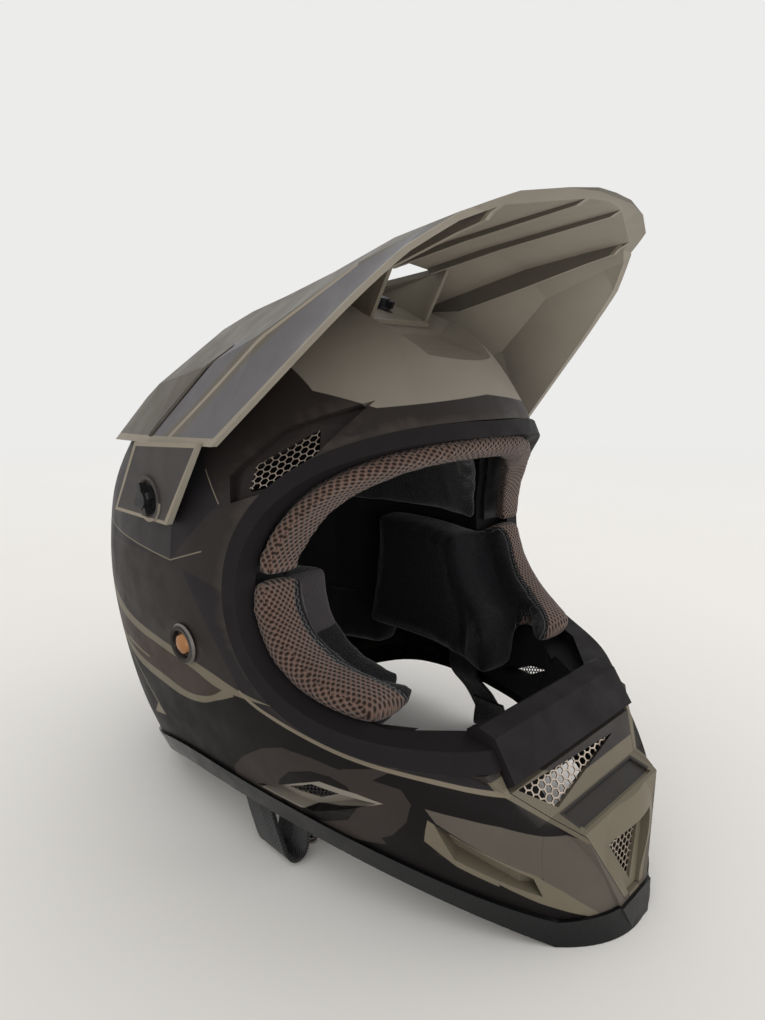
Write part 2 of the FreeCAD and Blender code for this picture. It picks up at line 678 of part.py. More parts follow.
def offset_line(points, distance):
    """An open (x, z) line moved to its lower side."""
    moved = []
    for i in range(len(points)):
        before, after = points[max(i - 1, 0)], points[min(i + 1, len(points) - 1)]
        here = points[i]
        normals = []
        for p, q in ((before, here), (here, after)):
            if p != q:
                length = math.hypot(q[0] - p[0], q[1] - p[1])
                normals.append(((q[1] - p[1]) / length, -(q[0] - p[0]) / length))
        n0, n1 = normals[0], normals[-1]
        share = 1 + n0[0] * n1[0] + n0[1] * n1[1]
        moved.append((here[0] + distance * (n0[0] + n1[0]) / share,
                      here[1] + distance * (n0[1] + n1[1]) / share))
    return moved


def peak_line(corners):
    """The outer line of a station, its last run made longer."""
    scaled_line = [(x * SX, z * SZ) for x, z in corners]
    (x0, z0), (x1, z1) = scaled_line[-2:]
    stretch = 1 + PEAK_EXTENSION / math.hypot(x1 - x0, z1 - z0)
    scaled_line[-1] = (x0 + (x1 - x0) * stretch, z0 + (z1 - z0) * stretch)
    return scaled_line


def lofted(sections):
    """A solid through closed (x, z) outlines at stations along y."""
    wires = []
    for y, outline in sections:
        corners = [Vector(x, y * SY, z) for x, z in outline]
        wires.append(Part.makePolygon(corners + corners[:1]))
    return Part.makeLoft(wires, True, True)


def peak_skin(depth, thickness):
    """A layer of the canopy, from depth below its outer surface downwards."""
    sections = []
    for y, corners in PEAK_SECTIONS:
        line = sided(peak_line(corners))
        upper, lower = offset_line(line, depth), offset_line(line, depth + thickness)
        sections.append((y, upper + lower[::-1]))
    return lofted(sections)


def above_canopy(depth):
    """Everything over a line at a depth below the canopy's outer surface."""
    sky = 400 * SZ
    sections = []
    for y, corners in PEAK_SECTIONS:
        line = offset_line(sided(peak_line(corners)), depth)
        sections.append((y, line + [(line[-1][0], sky), (line[0][0], sky)]))
    return lofted(sections)


def peak_trim():
    """The space inside the peak's outlines in side view and in plan."""
    plan_line = PEAK_PLAN + [(-x, y) for x, y in reversed(PEAK_PLAN)]
    corners = [Vector(x * SX, y * SY, 100) for x, y in plan_line]
    slab = Part.Face(Part.makePolygon(corners + corners[:1])).extrude(Vector(0, 0, 300))
    return across(scaled(PEAK_SIDE_VIEW)).common(slab)


def peak_rib(corner, depths, side):
    """A rib under one of the canopy's creases."""
    sections = []
    for y, depth in depths:
        x = between(-y, [-s[0] for s in PEAK_SECTIONS], [s[1][corner][0] for s in PEAK_SECTIONS])
        z = between(-y, [-s[0] for s in PEAK_SECTIONS], [s[1][corner][1] for s in PEAK_SECTIONS])
        low, top = z * SZ - PEAK_WALL - depth, z * SZ - PEAK_WALL / 2
        left, right = side * x * SX - RIB_WALL / 2, side * x * SX + RIB_WALL / 2
        sections.append((y, [(left, low), (right, low), (right, top), (left, top)]))
    return lofted(sections)


def make_tab(side):
    """The ear that the side screw holds, with a dished round boss."""
    place = tilt_place(side)
    inner = TAB_INNER_X
    corners = [Vector(side * inner, y, z) for y, z in scaled(TAB_OUTLINE)]
    plate = Part.Face(Part.makePolygon(corners + corners[:1])).extrude(Vector(side * PEAK_TAB_WALL, 0, 0))
    boss = place.disc(KNOB_RADIUS + 3.5, inner, inner + PEAK_TAB_WALL + 1.2)
    dish = place.disc(KNOB_RADIUS + 1.5, inner + PEAK_TAB_WALL - 0.8, inner + 20)
    return plate.fuse(boss).cut([dish, place.disc(SCREW_RADIUS + SCREW_CLEARANCE, inner - 5, inner + 20)])


def make_peak():
    canopy = peak_skin(0, PEAK_WALL)
    ribs = [peak_rib(corner, depths, side) for corner, depths in RIBS for side in (-1, 1)]
    canopy = canopy.fuse(ribs).common(peak_trim())
    window = [Vector(x * SX, y * SY, 200) for x, y in PEAK_WINDOW]
    window = Part.Face(Part.makePolygon(window + window[:1])).extrude(Vector(0, 0, 200))
    groove = across(scaled(SIDE_GROOVE)).common(peak_skin(0, SIDE_GROOVE_DEPTH))
    canopy = canopy.cut([window, groove])
    return canopy.fuse([make_tab(side) for side in (-1, 1)])


def make_bracket():
    """The cradle that carries the peak's middle on the crown's slide."""
    low, high = SLIDE_RADIUS + PIECE_GAP, SLIDE_RADIUS + PIECE_GAP + BRACKET_WALL
    half = BRACKET_HALF_WIDTH
    ring_bar = Part.makeCylinder(high, 2 * half, Vector(-half, TILT_Y, TILT_Z), Vector(1, 0, 0))
    bore = Part.makeCylinder(low, 2 * half, Vector(-half, TILT_Y, TILT_Z), Vector(1, 0, 0))
    shoe = sector(10, 32, 30, half).common(ring_bar.cut(bore))
    walls = sector(11, 31, 60, half).cut([ring_bar, above_canopy(PEAK_WALL + SEAT_GAP)])
    walls = walls.cut(box((-half + BRACKET_WALL, half - BRACKET_WALL), (-200, 200), (0, 400)))
    bracket = shoe.fuse(walls.Solids)
    return bracket.cut(slide_slot())


def sector(start_deg, end_deg, outer, half):
    """A wedge about the tilt axis between two angles forward of straight up."""
    far = SLIDE_RADIUS + outer
    corners = [(TILT_Y, TILT_Z)] + [slide_point(far, a) for a in (start_deg, (start_deg + end_deg) / 2, end_deg)]
    return across(corners, half)


def slide_slot():
    """The slot that the centre screw passes through, as long as the tilt needs."""
    radius = SCREW_RADIUS + SCREW_CLEARANCE
    angles = [CENTRE_SCREW_DEG - TILT_MAX_DEG - 0.4, CENTRE_SCREW_DEG - TILT_MIN_DEG + 0.4]
    ends = [slide_place(a).disc(radius, 90, 120) for a in angles]
    middle = sector(angles[0], angles[1], 20, radius)
    return ends[0].fuse([ends[1], middle])


def make_screw(place, seat, tip, head_radius):
    """A thumb screw with a winged head: seat is where the head bears, tip its inner end."""
    shank = place.disc(SCREW_RADIUS, tip, seat + 1)
    head = place.disc(head_radius * 0.55, seat, seat + KNOB_HEIGHT)
    washer = place.disc(head_radius * 0.8, seat, seat + 1.4)
    wings = []
    for turn in (0, 90):
        t = math.radians(turn + 20)
        c, s = math.cos(t), math.sin(t)
        bar = [(c * a - s * b, s * a + c * b) for a, b in
               ((-head_radius, -1.6), (head_radius, -1.6), (head_radius, 1.6), (-head_radius, 1.6))]
        wings.append(place.prism(bar, seat + 1, seat + KNOB_HEIGHT - 0.8))
    return shank.fuse([head, washer] + wings)


def make_nut(place, inner_face, length):
    """A threaded insert: barrel through the shell, flange inside it."""
    barrel = place.disc(NUT_BARREL, inner_face - NUT_FLANGE_THICKNESS, inner_face - SEAT_GAP + length)
    flange = place.disc(NUT_FLANGE, inner_face - NUT_FLANGE_THICKNESS - SEAT_GAP, inner_face - SEAT_GAP)
    return barrel.fuse(flange).cut(place.disc(SCREW_RADIUS + SCREW_PLAY, 0, 400))


def skin_at_tilt():
    return skin_x(TILT_Y, TILT_Z)


def webbing(points, width=WEBBING_WIDTH, thickness=WEBBING_THICKNESS):
    """A strap through (x, y, z) points, flat along y."""
    wires = []
    for i, (x, y, z) in enumerate(points):
        before, after = points[max(i - 1, 0)], points[min(i + 1, len(points) - 1)]
        run = Vector(after[0] - before[0], 0, after[2] - before[2]).normalize()
        across_run = Vector(-run.z, 0, run.x) * (thickness / 2)
        corners = [Vector(x, y + w, z) + across_run * t
                   for w, t in ((-width / 2, 1), (width / 2, 1), (width / 2, -1), (-width / 2, -1))]
        wires.append(Part.makePolygon(corners + corners[:1]))
    return Part.makeLoft(wires, True, True)


STRAP_INSET = SHELL_WALL + 2.2 + WEBBING_THICKNESS / 2
STRAP_ROOM = 9.0


RIM_CLEARANCE = RIM_BEAD_LIP + 1.8


def strap_line(side):
    """Points just inside the shell, then just inside the base trim, with their (y, z) places."""
    stations = [(-31, 126, 0), (-31, 111, 0), (-33, 95, 0), (-36, 78, 0), (-38, 62, RIM_CLEARANCE),
                (-42, 48, RIM_CLEARANCE + 1.6), (-46, 36, RIM_CLEARANCE + 1.2)]
    return [(side * (skin_x(y * SY, z * SZ) - STRAP_INSET - more), y * SY, z * SZ) for y, z, more in stations]


STRAP_TOPS = [strap_line(side) for side in (-1, 1)]


def strap_path(side):
    """From the rivet down inside the shell, out under the rim and down to the ground and up again."""
    hanging = [(-92.5, -56, 24), (-93.5, -64, 13), (-93, -68, 6), (-90.5, -70, 2.6), (-87, -70.5, 2.2),
               (-84, -71, 5), (-83.1, -72, 12), (-82.9, -73, 20), (-80.8, -73, 26.4)]
    return STRAP_TOPS[(side + 1) // 2] + [(-side * x * SX, y * SY, z * SZ) for x, y, z in hanging]


RING_LOOP = spot(-82.9, -73, 24.5)


def ring_bar_at(index):
    """Where a D-ring's straight bar lies, in the folded end of the right-hand strap."""
    return RING_LOOP + Vector(5.2 + index * (D_RING_WIRE + 2 * STRAP_LOOP_GAP), 0, 0)


def stadium(radius, low, high):
    """A flat-sided bar round both ring bars, between two places along y."""
    a, b = ring_bar_at(0), ring_bar_at(1)
    ends = [Part.makeCylinder(radius, high - low, Vector(p.x, low, p.z), Vector(0, 1, 0)) for p in (a, b)]
    return ends[0].fuse([ends[1], box((a.x, b.x), (low, high), (a.z - radius, a.z + radius))])


def make_strap(side):
    strap = webbing(strap_path(side))
    hole = rivet_place(side).disc(RIVET_SHANK + SEAT_GAP, -20, 20)
    if side < 0:
        inner = D_RING_WIRE / 2 + STRAP_LOOP_GAP
        low, high = RING_LOOP.y - WEBBING_WIDTH / 2, RING_LOOP.y + WEBBING_WIDTH / 2
        strap = strap.fuse(stadium(inner + WEBBING_THICKNESS, low, high))
        strap = strap.cut(stadium(inner, low - 5, high + 5))
    return strap.cut(hole)


def make_d_ring(index):
    """A wire ring, straight where the strap holds it and bowed below."""
    wire = D_RING_WIRE / 2
    bar = ring_bar_at(index)
    half = WEBBING_WIDTH / 2 + STRAP_LOOP_GAP + wire + 0.4
    drop = Vector(0, 0, half + wire - D_RING_DEPTH)
    across_bar, down = Vector(0, 1, 0), Vector(0, 0, -1)
    bow = Part.makeTorus(half, wire, bar + drop, Vector(1, 0, 0))
    bow = bow.common(box((bar.x - 5, bar.x + 5), (bar.y - 40, bar.y + 40), (bar.z - 60, bar.z + drop.z)))
    rods = [Part.makeCylinder(wire, 2 * half, bar - across_bar * half, across_bar)]
    for end in (bar - across_bar * half, bar + across_bar * half):
        rods.append(Part.makeCylinder(wire, -drop.z, end, down))
        rods.append(Part.makeSphere(wire, end))
    return bow.fuse(rods)


def make_rivet(side):
    """A domed head on a shank that is spread against the anchor plate."""
    place = rivet_place(side)
    deep = anchor_depth() + ANCHOR_THICKNESS
    head = [(0, 3.6), (2.6, 3.2), (4.6, 2.2), (RIVET_RADIUS - 0.4, 1.0), (RIVET_RADIUS - 0.4, 0.9), (0, 0.9)]
    tail = [(0, -deep - 1.4), (3.6, -deep - 1.4), (4.2, -deep - 0.1), (0, -deep - 0.1)]
    return place.turned(head).fuse([place.disc(RIVET_SHANK, -deep - 0.6, 1.2), place.turned(tail)])


def make_rivet_washer(side):
    """The dished bright ring under the rivet's head."""
    place = rivet_place(side)
    rim = RIVET_RADIUS + 4.5
    bore = RIVET_SHANK + SEAT_GAP
    return place.turned([(bore, 0.1), (rim - 1, 0.1), (rim, 1.0), (rim - 1.4, 2.6), (rim - 3.2, 2.4),
                         (RIVET_RADIUS + 0.4, 0.8), (bore, 0.8)])


def anchor_depth():
    """How far under the skin the anchor plate's outer face lies."""
    return STRAP_INSET + WEBBING_THICKNESS / 2 + 0.9


def make_anchor(side):
    """The steel plate that spreads the rivet's pull over the strap's end."""
    place = rivet_place(side)
    plate = place.disc(8.5, -anchor_depth() - ANCHOR_THICKNESS, -anchor_depth())
    return plate.cut(place.disc(RIVET_SHANK + SEAT_GAP, -20, 20))


def make_grommet(side):
    """The rubber ring between the peak's ear and the shell."""
    place = tilt_place(side)
    outer = TAB_INNER_X - SEAT_GAP
    ring_bar = place.disc(GROMMET_RADIUS, outer - 12, outer).cut(body(-SEAT_GAP))
    return ring_bar.cut(place.disc(SCREW_RADIUS + SCREW_CLEARANCE, 80, 140))


def side_screw(side):
    seat = TAB_INNER_X + PEAK_TAB_WALL - 0.8 + SEAT_GAP
    return make_screw(tilt_place(side), seat, skin_at_tilt() - SHELL_WALL - 3.5, KNOB_RADIUS)


def centre_screw():
    seat = SLIDE_RADIUS + PIECE_GAP + BRACKET_WALL + SEAT_GAP
    return make_screw(slide_place(), seat, SLIDE_RADIUS - SHELL_WALL - 3.5, KNOB_RADIUS * 0.85)


def make_nuts():
    side_length = SHELL_WALL
    nuts = [make_nut(tilt_place(side), skin_at_tilt() - SHELL_WALL - NUT_CLEARANCE, side_length) for side in (-1, 1)]
    return nuts + [make_nut(slide_place(), SLIDE_RADIUS - SHELL_WALL - 0.4, SHELL_WALL)]


def vent_mesh(name, side):
    vent = VENTS[name]
    return vent_place(vent, side).mesh(vent["mesh"], -VENT_DEPTH - 2, vent["pitch"])


def make_pieces():
    """Every named piece of the helmet."""
    pieces = {"outer_shell": make_shell(), "mouth_vent_cover": make_cover(), "base_trim": make_base_trim(),
              "eyeport_trim": make_eyeport_trim(), "impact_liner": make_foam(), "chin_bar_foam": make_chin_foam(),
              "port_inner_strip": make_port_strip(), "crown_liner": make_crown_liner(),
              "brow_pad": port_pad(PORT_SPLIT + 0.5, 300), "neck_roll": make_neck_roll(),
              "mouth_mesh_upper": upper_panel().mesh(UPPER_MESH, -2.6, 5.0),
              "mouth_mesh_lower": lower_panel().mesh(LOWER_MESH, -3.6, 5.0),
              "peak_visor": make_peak(), "peak_bracket": make_bracket(), "centre_screw": centre_screw(),
              "d_ring_inner": make_d_ring(1), "d_ring_outer": make_d_ring(0)}
    rolls = port_pad(-50, PORT_SPLIT - 0.5)
    for side_name, side in SIDES.items():
        pieces["cheek_roll_" + side_name] = [r for r in rolls.Solids if r.CenterOfMass.x * side > 0][0]
        pieces["cheek_pad_" + side_name] = make_cheek_pad(side)
        pieces["strap_" + side_name] = make_strap(side)
        pieces["side_screw_" + side_name] = side_screw(side)
        for name in VENTS:
            pieces[name + "_mesh_" + side_name] = vent_mesh(name, side)
    pieces["peak_nuts"] = Part.makeCompound(make_nuts())
    for name, maker in (("peak_grommets", make_grommet), ("strap_rivets", make_rivet),
                        ("rivet_washers", make_rivet_washer), ("strap_anchors", make_anchor)):
        pieces[name] = Part.makeCompound([maker(side) for side in (-1, 1)])
    return pieces


if __name__ == "__main__":
    os.makedirs("parts", exist_ok=True)
    for name, shape in make_pieces().items():
        export(name, shape)
        print(name, len(shape.Solids), round(shape.Volume / 1000, 2), shape.isValid())
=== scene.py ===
"""The looks of a motocross helmet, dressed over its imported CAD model."""

import functools
import math

import bpy
import bmesh
import numpy as np
from mathutils import Euler, Matrix, Vector
from mathutils.bvhtree import BVHTree


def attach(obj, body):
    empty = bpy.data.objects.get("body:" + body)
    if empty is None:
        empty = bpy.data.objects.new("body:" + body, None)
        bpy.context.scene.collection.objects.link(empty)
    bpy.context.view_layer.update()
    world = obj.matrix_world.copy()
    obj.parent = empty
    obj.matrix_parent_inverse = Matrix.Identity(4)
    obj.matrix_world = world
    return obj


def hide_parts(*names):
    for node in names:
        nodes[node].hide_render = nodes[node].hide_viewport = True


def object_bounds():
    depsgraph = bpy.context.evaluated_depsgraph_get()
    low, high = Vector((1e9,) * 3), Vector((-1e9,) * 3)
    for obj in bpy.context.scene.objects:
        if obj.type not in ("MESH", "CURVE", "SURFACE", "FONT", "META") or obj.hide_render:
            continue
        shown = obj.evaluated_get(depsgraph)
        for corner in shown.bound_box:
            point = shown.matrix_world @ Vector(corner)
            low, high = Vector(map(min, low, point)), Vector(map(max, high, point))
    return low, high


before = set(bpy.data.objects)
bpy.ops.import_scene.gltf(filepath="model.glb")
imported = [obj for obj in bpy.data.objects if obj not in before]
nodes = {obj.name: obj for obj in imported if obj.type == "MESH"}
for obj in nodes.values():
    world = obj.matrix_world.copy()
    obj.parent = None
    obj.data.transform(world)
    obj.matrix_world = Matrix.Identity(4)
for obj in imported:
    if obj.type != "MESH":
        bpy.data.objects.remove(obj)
cad_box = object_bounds()

MM = 0.001
HEAD_AXIS = 0.0368
SIDES = {"right": -1, "left": 1}


def spot(x, y, z):
    """A point in millimetres about the head axis, in the frame's metres."""
    return Vector((x * MM, y * MM + HEAD_AXIS, z * MM))


def paint(red, green, blue):
    """An 8-bit display colour as linear light."""
    def linear(value):
        c = value / 255
        return c / 12.92 if c <= 0.04045 else ((c + 0.055) / 1.055) ** 2.4
    return (linear(red), linear(green), linear(blue), 1.0)


def add_object(name, data):
    """A new object in the scene."""
    made = bpy.data.objects.new(name, data)
    bpy.context.scene.collection.objects.link(made)
    return made


def mesh_from(form, name):
    """A mesh from a finished bmesh."""
    mesh = bpy.data.meshes.new(name)
    form.to_mesh(mesh)
    form.free()
    return mesh


def coordinates(piece):
    """The piece's vertices as rows of x, y and z in metres."""
    flat = np.zeros(len(piece.data.vertices) * 3)
    piece.data.vertices.foreach_get("co", flat)
    return flat.reshape(-1, 3)


def move_to(piece, points):
    piece.data.vertices.foreach_set("co", points.ravel())
    piece.data.update()


def apply_modifiers(piece):
    graph = bpy.context.evaluated_depsgraph_get()
    mesh = bpy.data.meshes.new_from_object(piece.evaluated_get(graph))
    piece.modifiers.clear()
    piece.data = mesh


# ---------------------------------------------------------------- materials

NOISE_ROUGHNESS = 0.55
FAR = 300


class Finish:
    """A procedural material whose colour, roughness and relief are built up in layers."""

    def __init__(self, name, colour, rough, **settings):
        self.material = bpy.data.materials.new(name)
        self.material.use_nodes = True
        self.tree = self.material.node_tree
        self.shader = self.tree.nodes["Principled BSDF"]
        self.colour = colour
        self.rough = rough
        for label, value in settings.items():
            self.shader.inputs[label.replace("_", " ")].default_value = value
        self.place = self.add("ShaderNodeTexCoord").outputs["Object"]
        split = self.add("ShaderNodeSeparateXYZ", self.place)
        self.x, self.y, self.z = split.outputs
        self.side = self.sum("ABSOLUTE", self.x)

    def add(self, kind, *values, **settings):
        node = self.tree.nodes.new(kind)
        for key, value in settings.items():
            setattr(node, key, value)
        for index, value in enumerate(values):
            self.feed(node.inputs[index], value)
        return node

    def feed(self, socket, value):
        if isinstance(value, bpy.types.NodeSocket):
            self.tree.links.new(value, socket)
        elif value is not None:
            socket.default_value = value

    def sum(self, operation, *values):
        return self.add("ShaderNodeMath", *values, operation=operation).outputs[0]

    def vector(self, operation, *values):
        node = self.add("ShaderNodeVectorMath", *values, operation=operation)
        return node.outputs[1 if operation in ("DOT_PRODUCT", "LENGTH", "DISTANCE") else 0]

    def mixed(self, share, first, second):
        node = self.add("ShaderNodeMix", data_type="RGBA")
        self.feed(node.inputs[0], share)
        self.feed(node.inputs[6], first)
        self.feed(node.inputs[7], second)
        return node.outputs[2]

    def noise(self, scale, detail):
        node = self.add("ShaderNodeTexNoise", self.place)
        node.inputs["Scale"].default_value = scale
        node.inputs["Detail"].default_value = detail
        node.inputs["Roughness"].default_value = NOISE_ROUGHNESS
        return node.outputs[0]

    def cells(self, scale, feature="F1"):
        node = self.add("ShaderNodeTexVoronoi", feature=feature)
        self.feed(node.inputs["Vector"], self.place)
        node.inputs["Scale"].default_value = scale
        return node.outputs[0]

    def remap(self, value, low, high, to_low, to_high):
        return self.add("ShaderNodeMapRange", value, low, high, to_low, to_high).outputs[0]

    def mask(self, distance, soft=0.25):
        """1 where a distance in metres is positive, with an edge soft millimetres wide."""
        return self.remap(distance, -soft * MM / 2, soft * MM / 2, 0.0, 1.0)

    def all_of(self, *distances):
        return functools.reduce(lambda first, second: self.sum("MINIMUM", first, second), distances)

    def any_of(self, *distances):
        return functools.reduce(lambda first, second: self.sum("MAXIMUM", first, second), distances)

    def plane(self, axes, a, b, left=1):
        """Distance to the left of a line through two points in millimetres, seen along an axis."""
        normal = Vector((-(b[1] - a[1]), b[0] - a[0])).normalized() * left
        offset = (normal[0] * a[0] + normal[1] * a[1]) * MM
        first, second = {"yz": (self.y, self.z), "xz": (self.side, self.z), "xy": (self.side, self.y)}[axes]
        if axes == "yz":
            offset += normal[0] * HEAD_AXIS
        if axes == "xy":
            offset += normal[1] * HEAD_AXIS
        across = self.sum("MULTIPLY", first, normal[0])
        return self.sum("SUBTRACT", self.sum("MULTIPLY_ADD", second, normal[1], across), offset)

    def ahead(self, y):
        return self.plane("yz", (y, 0), (y, FAR))

    def behind(self, y):
        return self.plane("yz", (y, 0), (y, FAR), -1)

    def below(self, z):
        return self.plane("yz", (0, z), (-FAR, z))

    def above(self, z):
        return self.plane("yz", (0, z), (-FAR, z), -1)

    def within(self, x):
        return self.plane("xz", (x, 0), (x, FAR))

    def beyond(self, x):
        return self.plane("xz", (x, 0), (x, FAR), -1)

    def outline(self, axes, corners):
        """Distance inside a convex outline of points in millimetres."""
        sides = list(zip(corners, corners[1:] + corners[:1]))
        turn = sum(a[0] * b[1] - a[1] * b[0] for a, b in sides)
        left = 1 if turn > 0 else -1
        return self.all_of(*[self.plane(axes, a, b, left) for a, b in sides])

    def curve(self, source, points):
        """A smooth line through (where, value) points in millimetres, read along source."""
        points = sorted(points)
        x0, x1 = points[0][0], points[-1][0]
        y0, y1 = min(p[1] for p in points), max(p[1] for p in points)
        shift = HEAD_AXIS if source is self.y else 0.0
        node = self.add("ShaderNodeFloatCurve")
        self.feed(node.inputs[1], self.remap(source, x0 * MM + shift, x1 * MM + shift, 0.0, 1.0))
        line = node.mapping.curves[0]
        shares = [((x - x0) / (x1 - x0), (y - y0) / (y1 - y0)) for x, y in points]
        for x, y in shares[1:-1]:
            line.points.new(x, y)
        for point, share in zip(sorted(line.points, key=lambda p: p.location[0]), shares):
            point.location = share
        node.mapping.update()
        return self.sum("MULTIPLY_ADD", node.outputs[0], (y1 - y0) * MM, y0 * MM)

    def line(self, axes, a, b, width):
        """Distance inside a straight stroke between two points."""
        along = Vector((b[0] - a[0], b[1] - a[1]))
        half = Vector((-along[1], along[0])).normalized() * width / 2
        corners = [(a[0] + half[0], a[1] + half[1]), (a[0] - half[0], a[1] - half[1]),
                   (b[0] - half[0], b[1] - half[1]), (b[0] + half[0], b[1] + half[1])]
        return self.outline(axes, corners)

    def cover(self, mask, colour):
        self.colour = self.mixed(mask, self.colour, colour)

    def mottle(self, amount, scale=35.0):
        """Soft changes of tone over the surface."""
        tone = self.remap(self.noise(scale, 3.0), 0.3, 0.7, 1 - amount, 1 + amount)
        node = self.add("ShaderNodeHueSaturation")
        self.feed(node.inputs["Color"], self.colour)
        self.feed(node.inputs["Value"], tone)
        self.colour = node.outputs[0]

    def worn_edges(self, colour, amount=0.5):
        """Lighter convex edges, where paint and plastic rub."""
        point = self.add("ShaderNodeNewGeometry").outputs["Pointiness"]
        edge = self.remap(point, 0.53, 0.6, 0.0, amount)
        self.colour = self.mixed(edge, self.colour, colour)

    def raise_by(self, height, depth):
        """Adds relief, depth metres high where height is 1."""
        node = self.add("ShaderNodeBump")
        node.inputs["Strength"].default_value = 1.0
        node.inputs["Distance"].default_value = depth
        self.feed(node.inputs["Height"], height)
        if self.shader.inputs["Normal"].links:
            self.feed(node.inputs["Normal"], self.shader.inputs["Normal"].links[0].from_socket)
        self.tree.links.new(node.outputs[0], self.shader.inputs["Normal"])

    def done(self):
        self.feed(self.shader.inputs["Base Color"], self.colour)
        self.feed(self.shader.inputs["Roughness"], self.rough)
        return self.material


OLIVE = paint(112, 105, 90)
PALE_LINE = paint(124, 115, 100)
SHELL_BROWN = paint(46, 41, 40)
SHELL_LOW = paint(18, 15, 15)
SURROUND = paint(35, 32, 34)
# The brow's black, used too as painted shade on the snout's upper grey panel.
BROW_BLACK_AND_PAINTED_SHADE = paint(39, 37, 40)
PANEL_GREY = paint(62, 59, 57)
FACET_GREY = paint(90, 84, 77)
STRIPE_FILL = paint(60, 50, 44)
# A paler copy of the olive, painted light for olive that lies in shade.
OLIVE_WITH_PAINTED_LIGHT = paint(132, 126, 116)
DARK_PANEL = paint(58, 55, 56)
JAW_GREY = paint(54, 48, 45)
ARM_GREY = paint(98, 96, 99)
EAR_GREY = paint(70, 67, 66)
# The peak's one olive in two copies: darker for the top, lit from above, and paler, as painted light, for the shaded
# underside.
PEAK_TOP = paint(98, 93, 85)
PEAK_UNDERSIDE_PAINTED_LIGHT = paint(153, 146, 134)
PEAK_EDGE = paint(146, 137, 122)
KNIT_SCALE = 900.0
RIVET, DISH_RADIUS = (-31, 111), 9.5
SPACER_PITCH = (0.0040, 0.0029, 1.0)
SPACER_STRETCH = (1.35, 1.0, 0.0)
RIB, CROSS_RIB = 0.0009, 0.0006


def shell_lacquer(finish, orange_peel=0.00002):
    """Matt lacquer: faint orange peel, rubbed edges and uneven sheen."""
    finish.mottle(0.05)
    finish.worn_edges(paint(112, 104, 94), 0.25)
    peel = finish.noise(900.0, 2.0)
    finish.rough = finish.remap(finish.noise(60.0, 5.0), 0.3, 0.7, 0.42, 0.6)
    finish.raise_by(peel, orange_peel)


